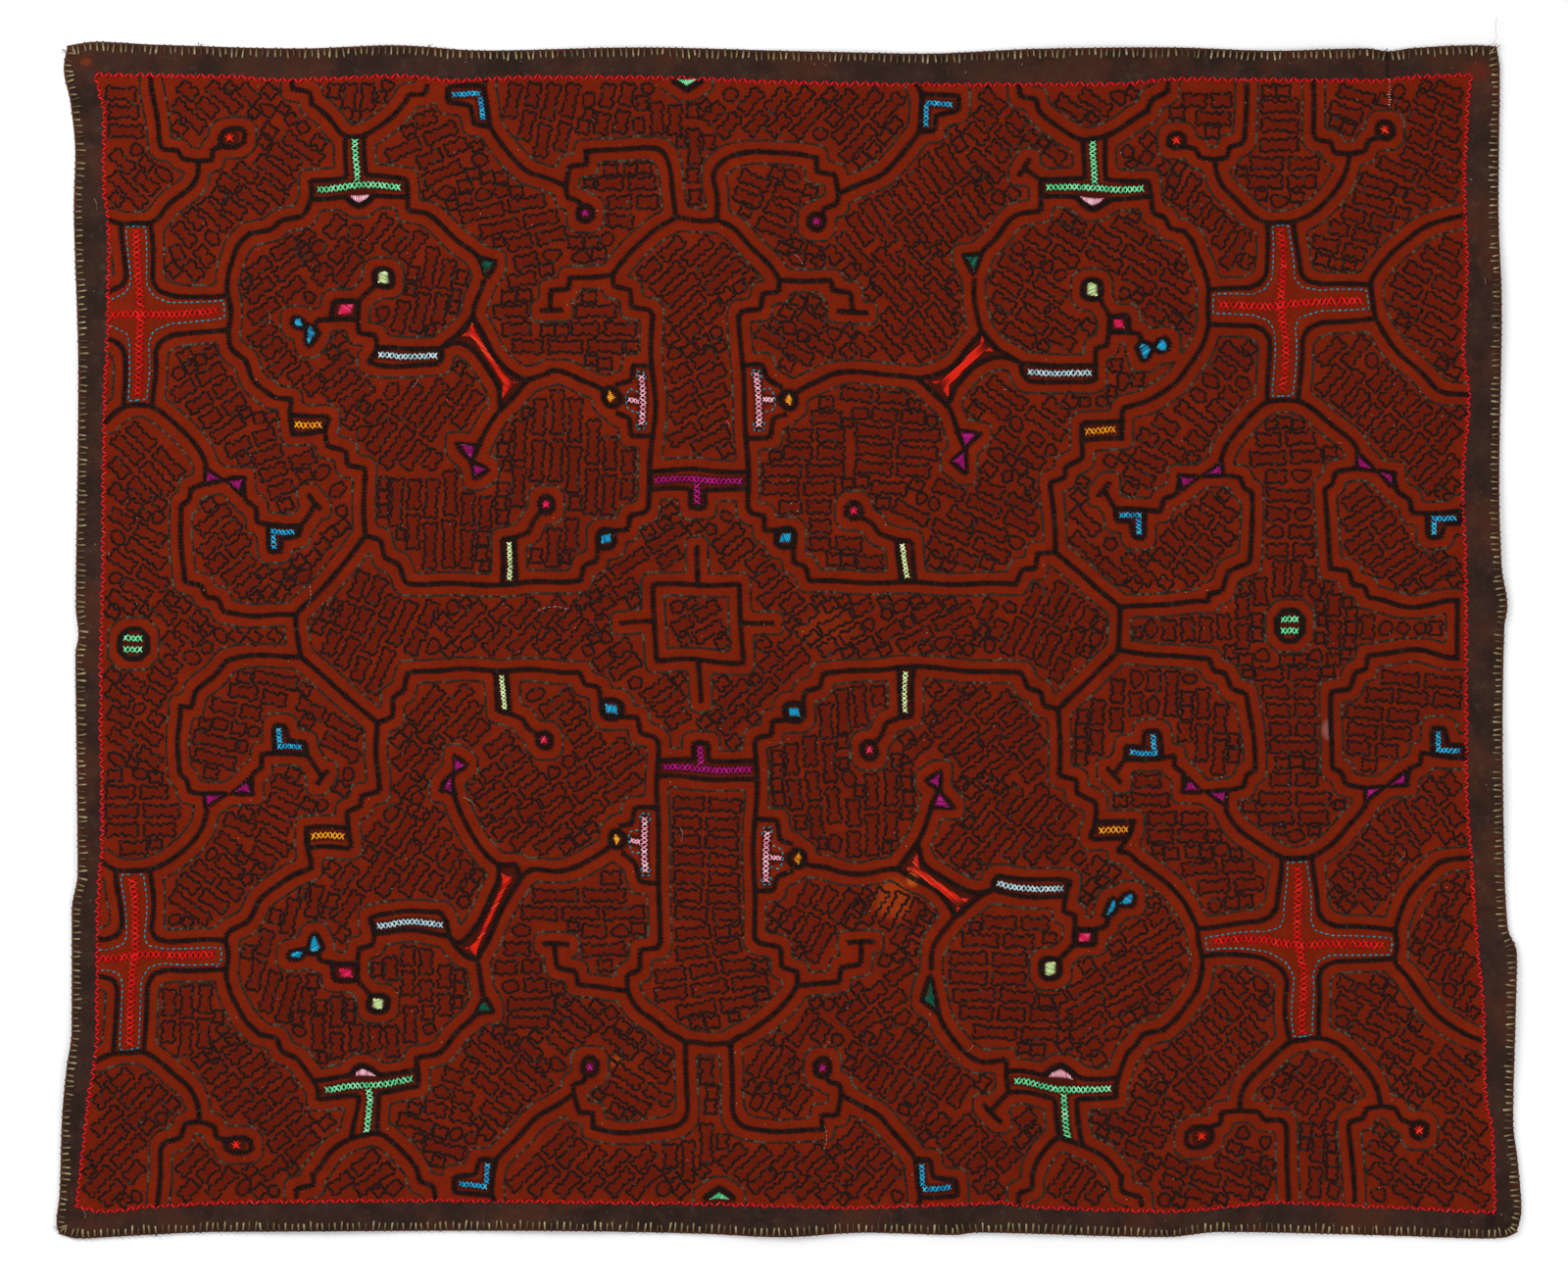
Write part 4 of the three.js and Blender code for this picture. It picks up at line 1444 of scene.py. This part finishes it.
def give_thread_map(mesh):
    """Puts each stitch's chance shade into the map that its material reads."""
    chance = np.empty(len(mesh.vertices), np.float32)
    mesh.attributes["chance"].data.foreach_get("value", chance)
    layer = mesh.uv_layers["thread_map"]
    place = np.empty(len(mesh.loops) * 2, np.float32)
    layer.data.foreach_get("uv", place)
    place = place.reshape(-1, 2)
    place[:, 0] = 0.02 + 0.94 * chance[corner_points(mesh)] + 0.03 * place[:, 0]
    place[:, 1] = 0.02 + 0.96 * place[:, 1]
    layer.data.foreach_set("uv", place.ravel())
    add_map(mesh, "OFBake", place)
    mesh.attributes.remove(mesh.attributes["chance"])


def sewn(name, thread, points, edges, tree, values):
    """A piece of sewing made by one of the trees from points and edges on the cloth."""
    mesh = bpy.data.meshes.new(name)
    mesh.from_pydata([tuple(p) for p in points], edges, [])
    obj = new_object(name, mesh)
    modifier = obj.modifiers.new("sewing", "NODES")
    modifier.node_group = tree
    set_inputs(modifier, {**values, "Thread": MATERIALS[thread]})
    keep_result(obj, modifier)
    give_thread_map(obj.data)
    obj.data.shade_smooth()
    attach(obj, "root")
    return obj


def on_cloth(points, above=0.0):
    """Places on the cloth in millimetres to points in space in metres."""
    p = np.asarray(points, float)
    z = surface(p[:, 0], p[:, 1]) + above
    return np.column_stack([p, z]) * MM


def line_mesh(paths, closed):
    """Points and edges of lines on the cloth."""
    points, edges = [], []
    for path in paths:
        base = len(points)
        points += list(on_cloth(path))
        edges += [(base + k, base + k + 1) for k in range(len(path) - 1)]
        if closed:
            edges.append((base + len(path) - 1, base))
    return points, edges


# The cloth itself

CLOTH_CELL = 5.2          # side of the cloth's cells
HEM_LINES = [0.0, 1.1, 5.0, 10.0, 15.0]   # how far in the lines of the mesh are at the hem
UNDER_CELLS = 6           # cells of the upper face to one of the underside


def stations(size):
    """Shares of a side at which the cloth has a line of points."""
    inner = size - 2 * HEM_LINES[-1]
    count = int(inner / CLOTH_CELL)
    # the cells between the second lines from each end make whole coarse cells
    while (count + 2 * (len(HEM_LINES) - 2)) % UNDER_CELLS:
        count += 1
    even = HEM_LINES[-1] + inner * np.arange(1, count) / count
    low = np.array(HEM_LINES)
    return np.concatenate([low, even, size - low[::-1]]) / size


def cloth_points(us, vs):
    """Upper points, and the under points that lie below them."""
    u, v = np.meshgrid(us, vs, indexing="ij")
    x, y = planform(u, v)
    i, j = np.indices(u.shape)
    rim = (i == 0) | (j == 0) | (i == len(us) - 1) | (j == len(vs) - 1)
    top = surface(x, y) - np.where(rim, EDGE_ROUND, 0)
    under = lift(x, y) + np.where(rim, EDGE_ROUND, 0)
    return x, y, top, under


def under_faces(columns, rows, at):
    """Faces of the underside: fine ones round the rim and coarse ones within it."""
    faces = []
    for i in range(columns):
        for j in range(rows):
            if i in (0, columns - 1) or j in (0, rows - 1):
                faces.append((at(i, j), at(i, j + 1), at(i + 1, j + 1), at(i + 1, j)))
    last_i, last_j = columns - 1, rows - 1
    for i in range(1, last_i, UNDER_CELLS):
        for j in range(1, last_j, UNDER_CELLS):
            k, m = i + UNDER_CELLS, j + UNDER_CELLS
            low = range(i, k) if j == 1 else [i]
            right = range(j, m) if k == last_i else [j]
            high = range(k, i, -1) if m == last_j else [k]
            left = range(m, j, -1) if i == 1 else [m]
            ring = [at(a, j) for a in low] + [at(k, b) for b in right]
            ring += [at(a, m) for a in high] + [at(i, b) for b in left]
            faces.append(tuple(reversed(ring)))
    return faces


def cloth_piece(near_black, near_row, in_motif):
    """The cloth with its measures for the material: how near each point is to what is sewn."""
    us, vs = stations(CLOTH_WIDE), stations(CLOTH_HIGH)
    x, y, top, under = cloth_points(us, vs)
    columns, rows = len(us) - 1, len(vs) - 1
    number = np.arange(x.size).reshape(x.shape)
    faces = [
        (number[i, j], number[i + 1, j], number[i + 1, j + 1], number[i, j + 1])
        for i in range(columns) for j in range(rows)
    ]
    under_number = {}
    def at(i, j):
        return under_number.setdefault((i, j), x.size + len(under_number))
    below = under_faces(columns, rows, at)
    rim = [(i, 0) for i in range(columns)] + [(columns, j) for j in range(rows)]
    rim += [(i, rows) for i in range(columns, 0, -1)] + [(0, j) for j in range(rows, 0, -1)]
    faces += [(at(*a), at(*b), number[b], number[a]) for a, b in zip(rim, rim[1:] + rim[:1])]
    upper_count = len(faces)
    lower = np.array([(x[k], y[k], under[k]) for k in under_number])
    points = np.vstack([np.column_stack([x.ravel(), y.ravel(), top.ravel()]), lower])
    mesh = bpy.data.meshes.new("cloth_piece")
    mesh.from_pydata((points * MM).tolist(), [], [tuple(map(int, f)) for f in faces + below])
    places = points[:, :2]
    values = {
        "panel": np.clip(inside_panel(places), -60, 60),
        "near_black": read_field(near_black, places),
        "near_row": read_field(near_row, places),
        "in_motif": read_field(in_motif, places),
        "from_edge": from_edge(*places.T),
    }
    for name, value in values.items():
        layer = mesh.attributes.new(name, "FLOAT", "POINT")
        layer.data.foreach_set("value", value.astype(np.float32))
    lay_cloth_maps(mesh, places, upper_count)
    mesh.shade_smooth()
    mesh.materials.append(cotton_material())
    return new_object("cloth_piece", mesh)


MAP_SPAN = 1520.0           # what the whole map would cover of the cloth
UPPER_AT = (0.5, 0.41)      # the middle of the upper face on the map
UNDER_AT = (0.12, 0.905)    # and of the underside
UNDER_SHARE = 0.19          # size of the underside on the map to that of the upper face


def lay_cloth_maps(mesh, places, upper_count):
    """The upper face fills the map, and the underside has a small corner of it."""
    corner = corner_points(mesh)
    first_under = mesh.polygons[upper_count].loop_start
    at = places[corner] / MAP_SPAN + UPPER_AT
    at[first_under:] = places[corner[first_under:]] / MAP_SPAN * UNDER_SHARE + UNDER_AT
    for name in ("cloth_map", "OFBake"):
        add_map(mesh, name, at)


# The sewing

# How each line is sewn: from stitch to stitch, how far stitches lean and stray, and how uneven
# their sizes are
PLAITED = {"pitch": 3.4, "lean": 6, "stray": 0.1, "spread": 0.12}
OUTLINED = {"pitch": 4.0, "lean": 16, "stray": 0.3, "spread": 0.2}
FILLED = {"pitch": 4.1, "lean": 24, "stray": 0.4, "spread": 0.2}
OVERCAST = {"pitch": 6.3, "lean": 10, "stray": 0.4, "spread": 0.2}
ZIGZAG = {"top": (10.4, 6.4), "bottom": (10.2, 5.2), "left": (9.2, 6.2), "right": (9.0, 6.0)}
ZIGZAG_IN = 1.0          # from the panel's edge to the middle of the zigzag
FILL_PIECES = 3          # pieces that the filling is divided into
RIM_POINTS = 300         # points along each side of the cloth's rim
# Strands: rings along them, sides round them, half width, height, and depth of the ends
STRANDS = {
    "strand": (3, 5, 0.85, 1.6, 0.3),
    "thin_strand": (2, 4, 0.55, 1.0, 0.3),
    "zigzag_strand": (2, 4, 0.88, 1.5, 0.2),
    "fibre": (1, 3, 0.35, 0.5, 0.1),
    "hair": (1, 3, 0.28, 0.4, -0.05),
}


def sew_lines(name, thread, paths, stitch, how, seed, closed=False):
    """how gives the pitch and stray in millimetres, the lean in degrees and the spread."""
    values = {"Stitch": stitch, "Pitch": how["pitch"] * MM, "Lean": math.radians(how["lean"]),
              "Stray": how["stray"] * MM, "Spread": how["spread"], "Seed": seed}
    return sewn(name, thread, *line_mesh(paths, closed), LINE_TREE, values)


def sew_strokes(name, thread, strokes, strand, seed, above=0.0):
    """Strokes are pairs of places on the cloth, with one strand laid along each."""
    points = on_cloth(np.array(strokes, float).reshape(-1, 2), above)
    edges = [(2 * k, 2 * k + 1) for k in range(len(strokes))]
    return sewn(name, thread, points, edges, STROKE_TREE, {"Strand": strand, "Seed": seed})


def rim_path():
    """The edge of the cloth, once round it with the cloth on the left."""
    t = np.linspace(0, 1, RIM_POINTS, endpoint=False)
    one, none = np.ones_like(t), np.zeros_like(t)
    sides = [planform(t, none), planform(one, t), planform(1 - t, one), planform(none, 1 - t)]
    return np.vstack([np.stack(side, -1) for side in sides])


def zigzag_strokes():
    """The machine-like zigzag that runs along the edge of the rust panel."""
    rng = np.random.default_rng(5)
    strokes = []
    for name, side in PANEL.items():
        pitch, deep = ZIGZAG[name]
        inward_way = -1 if name in ("top", "right") else 1
        first, last = side[0][0], side[-1][0]
        count = int((last - first) / (pitch / 2))
        run = np.linspace(first, last, count + 1) + rng.uniform(-1.1, 1.1, count + 1)
        swing = np.where(np.arange(count + 1) % 2, 1, -1) * (deep / 2)
        off = side_at(side, run) + inward_way * ZIGZAG_IN + swing
        off += rng.uniform(-0.8, 0.8, count + 1)
        points = np.stack([run, off] if name in ("top", "bottom") else [off, run], -1)
        strokes += list(zip(points[:-1], points[1:]))
    return strokes


CROSS_STEP = 1.6      # a wider row has longer crosses, but not as much longer as it is wider


def crossed_row(path, wide, rng):
    """A row of crossed stitches along a path."""
    step = CROSS_STEP * wide**0.5
    line = at_even_steps(path, step)
    strokes = []
    for a, b in zip(line[:-1], line[1:]):
        run = (b - a) / np.linalg.norm(b - a)
        side = np.array([-run[1], run[0]])
        for lean in (1, -1):
            reach = wide / 2 * rng.uniform(0.9, 1.08)
            shift = rng.uniform(-0.4, 0.4, 2)
            strokes.append((
                a - run * step * 0.12 - side * reach * lean + shift,
                b + run * step * 0.12 + side * reach * lean + shift,
            ))
    return strokes


def laid_stitches(corners, lie, pitch=1.7):
    """Stitches side by side over an area, all one way."""
    c = np.array(corners, float)
    along, across = both_ways(lie)
    rise = c @ across
    strokes = []
    for level in np.arange(rise.min() + pitch / 2, rise.max(), pitch):
        crossings = []
        for a, b in zip(c, np.roll(c, -1, 0)):
            low, high = a @ across, b @ across
            if (low - level) * (high - level) < 0:
                t = (level - low) / (high - low)
                crossings.append((a + (b - a) * t) @ along)
        crossings.sort()
        for start, end in zip(crossings[::2], crossings[1::2]):
            if end - start > 1.2:
                strokes.append((along * start + across * level, along * end + across * level))
    return strokes


def knot_stitches(middle, half):
    """A small cross of long stitches laid over each other."""
    strokes = []
    for turn, aside in ((40, -0.6), (130, -0.6), (60, 0.9), (150, 0.9)):
        along, across = both_ways(turn)
        reach = along * half * 1.25
        off = across * aside
        strokes.append((middle - reach + off, middle + reach + off))
    return strokes


def running_stitches(path, long=4.6, gap=1.4):
    line = at_even_steps(path, (long + gap) / 2)
    cut = long / (long + gap)
    return [(a, a + (b - a) * 2 * cut) for a, b in zip(line[:-1:2], line[1::2])]


def coloured_strokes():
    """All the stitches of the coloured threads, by thread, on the cloth."""
    rng = np.random.default_rng(17)
    by_thread = {}
    def keep(thread, strokes):
        for stroke in strokes:
            if inside_panel(np.array(stroke)).min() > 0.5:
                by_thread.setdefault(thread, []).append(stroke)
    for row in ROWS:
        for line in drawn_copies(row.path, row.past):
            keep(row.thread, crossed_row(line, row.wide, rng))
    for area in TRIANGLES + PATCHES:
        for copy in mirrored(area.corners, area.past):
            corners = drawn(copy)
            turn = area.lie if corners[0][0] * corners[0][1] > 0 else 180 - area.lie
            keep(area.thread, laid_stitches(corners, turn))
    for knot in KNOTS:
        for copy in mirrored([(knot.x, knot.y)], knot.past):
            keep(knot.thread, knot_stitches(drawn(copy)[0], knot.half))
    return by_thread


def teal_strokes():
    """The running stitches round the red crosses and the pink bars."""
    lines = [copy for run in TEAL_LINES for copy in drawn_copies(run.path, run.past)]
    return [st for line in lines for part in on_panel(line) for st in running_stitches(part)]


MEND_X = 610.0                 # the mended slit at the top of the cloth
MEND_SEAM = (604.0, 574.0)     # its dark seam across the margin, from top to bottom
MEND_WHIPPED = (572.0, 540.0)  # its pale stitches over the panel


def mend_strokes():
    """Small whipped stitches over the mended slit."""
    rng = np.random.default_rng(29)
    strokes = []
    for y in np.arange(*MEND_WHIPPED, -2.6):
        x = MEND_X + 3.0 + rng.uniform(-0.7, 0.7)
        lean, half = rng.uniform(-1.6, 0.6), rng.uniform(1.2, 2.6)
        strokes.append(((x - half, y - lean), (x + half, y + lean)))
    return strokes


def seam_strokes():
    """The dark seam across the margin."""
    rng = np.random.default_rng(30)
    strokes = []
    for y in np.arange(*MEND_SEAM, -3.0):
        x = MEND_X + rng.uniform(-0.6, 0.6)
        strokes.append(((x, y), (x + rng.uniform(-0.8, 0.8), y - 3.8)))
    return strokes


# Loose thread ends: x and y of the root on the cloth, the way it points in degrees, and length
Tuft = namedtuple("Tuft", "thread x y way long")
TUFTS = [
    Tuft("dark_tuft", -601, 604, 75, 7), Tuft("dark_tuft", -350, 601, 100, 6),
    Tuft("dark_tuft", -368, 602, 60, 8), Tuft("mending", 720, 603, 60, 8),
    Tuft("dark_tuft", -744, -598, 200, 7), Tuft("dark_tuft", -644, -604, 265, 6),
    Tuft("tan", -738, 600, 160, 6),
]


def tuft_strokes(tuft):
    """A few short fibres that fan out."""
    rng = np.random.default_rng(abs(tuft.x))
    strokes = []
    for turn in rng.uniform(-40, 40, 7):
        long = tuft.long * rng.uniform(0.5, 1.0)
        root = np.array([tuft.x, tuft.y]) + rng.uniform(-2, 2, 2)
        strokes.append((root, root + long * both_ways(tuft.way + turn)[0]))
    return strokes


# Pale hairs and lint lying on the cloth: x, y, length and direction
Hair = namedtuple("Hair", "x y long way")
HAIRS = [Hair(*row) for row in [
    (-225, 31, 34, 160), (-492, 33, 24, 60), (-530, 323, 14, 75), (14, 383, 16, 110), (35, -520, 26, 65),
    (620, -227, 14, 30), (-60, 216, 9, 95), (710, 363, 7, 80), (-385, 258, 12, 30), (-706, 438, 13, 80),
    (-110, -206, 15, 70), (-320, -170, 16, 120), (180, -420, 12, 20), (-718, -590, 8, 75),
]]
HAIR_PIECES = 6
HAIR_BEND = 0.16    # turn from piece to piece, in radians
LINT_COUNT = 420


def hair_strokes():
    """Each hair in a few short pieces, a little bent."""
    strokes = []
    for hair in HAIRS:
        a = math.radians(hair.way)
        at = np.array([hair.x, hair.y], float)
        for _ in range(HAIR_PIECES):
            after = at + hair.long / HAIR_PIECES * np.array([math.cos(a), math.sin(a)])
            strokes.append((at, after))
            at = after
            a += HAIR_BEND
    return strokes


def lint_strokes():
    """Tiny specks of fibre all over the cloth."""
    rng = np.random.default_rng(19)
    strokes = []
    while len(strokes) < LINT_COUNT:
        at = rng.uniform((-730, -600), (730, 600))
        if from_edge(*at) > 6:
            a, long = rng.uniform(0, math.pi), rng.uniform(1.0, 3.2)
            strokes.append((at, at + long * np.array([math.cos(a), math.sin(a)])))
    return strokes


def loose_thread():
    """The long end that curls up past the top right corner."""
    places = [(714, 605), (719, 609), (722, 614), (721, 620), (721, 628), (722, 635)]
    line = at_even_steps(curve_through(places, 2.0), 2.5)
    return list(zip(line[:-1], line[1:]))


def accent_lines():
    """The coloured rows and the running stitches, as lines."""
    return [copy for line in [*ROWS, *TEAL_LINES] for copy in drawn_copies(line.path, line.past)]


def boxed_lines():
    """The coloured rows and patches whose box is painted dark inside, as shadow and dark thread: all but
    the red crosses.
    """
    quarter = [(row.path, row.past) for row in ROWS if row.thread != "crimson"]
    quarter += [(area.corners, area.past) for area in PATCHES]
    quarter += [(small_box(k.x, k.y, k.half / 2), k.past) for k in KNOTS]
    return [copy for line, past in quarter for copy in drawn_copies(line, past)]


# Putting it together

MATERIALS = {name: thread_material("thread_" + name, *tones) for name, tones in THREADS.items()}
LINE_TREE = line_sewing_tree()
STROKE_TREE = stroke_sewing_tree()

black_paths = black_line_paths()
near_black = nearness(black_paths)
near_accent = nearness(accent_lines())
outlines = outline_paths(near_black, near_accent)
free_ground = (
    (near_black > FILL_CLEAR - 3) & (near_accent > FILL_CLEAR - 3)
    & (inside_panel(grid_places()) > PANEL_CLEAR)
)
field_labels = fields_of_filling(free_ground)
motifs = filling_motifs(near_black, near_accent, field_labels)
motifs += blobs_between(motifs, near_black, near_accent, field_labels)

cloth = cloth_piece(near_black, nearness(boxed_lines()), motif_ground(motifs))
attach(cloth, "root")
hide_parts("cloth")

small_stitch = back_stitch("outline_stitch", 5.2, 2.9, 1.2)
fill_stitch = back_stitch("fill_stitch", 5.4, 3.2, 1.2)
strands = {name: prototype(name, strand_parts(*sizes)) for name, sizes in STRANDS.items()}

sewing = [
    sew_lines("black_lines", "black", black_paths, plait_stitch(), PLAITED, 3),
    sew_lines("fine_outlines", "olive", outlines, small_stitch, OUTLINED, 5),
]
for part in range(FILL_PIECES):
    rings = [m["outline"] for m in motifs[part::FILL_PIECES]]
    name = f"filling_{part + 1}"
    sewing.append(sew_lines(name, "umber", rings, fill_stitch, FILLED, 7 + part, closed=True))
sewing += [
    sew_strokes("red_zigzag", "red", zigzag_strokes(), strands["zigzag_strand"], 31),
    sew_lines("edge_stitches", "tan", [rim_path()], edge_stitch(), OVERCAST, 37, closed=True),
]
for number, (thread, strokes) in enumerate(coloured_strokes().items()):
    name = f"{thread}_stitches"
    sewing.append(sew_strokes(name, thread, strokes, strands["strand"], 41 + number))

sewing += [
    sew_strokes("teal_stitches", "teal", teal_strokes(), strands["strand"], 61),
    sew_strokes("mend_stitches", "mending", mend_strokes(), strands["thin_strand"], 63),
    sew_strokes("mend_seam", "black", seam_strokes(), strands["zigzag_strand"], 64),
]
for thread in ("dark_tuft", "mending", "tan"):
    strokes = [st for tuft in TUFTS if tuft.thread == thread for st in tuft_strokes(tuft)]
    if thread == "dark_tuft":
        strokes += loose_thread()
    sewing.append(sew_strokes(f"{thread}_ends", thread, strokes, strands["fibre"], 66))
sewing += [
    sew_strokes("hairs", "lint", hair_strokes(), strands["hair"], 71, above=1.3),
    sew_strokes("lint", "lint", lint_strokes(), strands["hair"], 73, above=0.9),
]

# Floor, light and camera


def floor():
    half, low = 4.0, -0.0004
    mesh = bpy.data.meshes.new("floor")
    corners = [(-half, -half, low), (half, -half, low), (half, half, low), (-half, half, low)]
    mesh.from_pydata(corners, [], [(0, 1, 2, 3)])
    material, _, shader = new_material("pale_floor", 0.9, 0.0)
    shader.inputs["Base Color"].default_value = colour(248, 248, 249)
    mesh.materials.append(material)
    return new_object("floor", mesh)


def area_light(name, place, size, power, turn):
    """A square lamp, turned in degrees."""
    light = bpy.data.lights.new(name, "AREA")
    light.energy = power
    light.size = size
    obj = new_object(name, light)
    obj.location = place
    obj.rotation_euler = [math.radians(a) for a in turn]


WORLD_LIGHT = 0.56

floor()
world = bpy.data.worlds.new("studio")
world.use_nodes = True
background = world.node_tree.nodes["Background"]
background.inputs["Color"].default_value = (1.0, 1.0, 1.0, 1.0)
background.inputs["Strength"].default_value = WORLD_LIGHT
bpy.context.scene.world = world
bpy.context.scene.view_settings.view_transform = "Standard"
area_light("left_lamp", (-2.6, 1.6, 2.4), 1.6, 95, (-38, -42, 0))
area_light("right_lamp", (2.6, -0.9, 2.6), 1.8, 45, (18, 44, 0))

CAMERA_AT = (-5.0, -2.5)      # the middle of the view, on the cloth
VIEW_WIDE = 1600.0            # width of the view at the cloth
LENS, SENSOR = 100.0, 36.0

camera = bpy.data.cameras.new("camera")
camera.lens = LENS
camera.sensor_width = SENSOR
camera_object = new_object("camera", camera)
camera_high = VIEW_WIDE * LENS / SENSOR + CLOTH_THICK
camera_object.location = (CAMERA_AT[0] * MM, CAMERA_AT[1] * MM, camera_high * MM)
bpy.context.scene.camera = camera_object
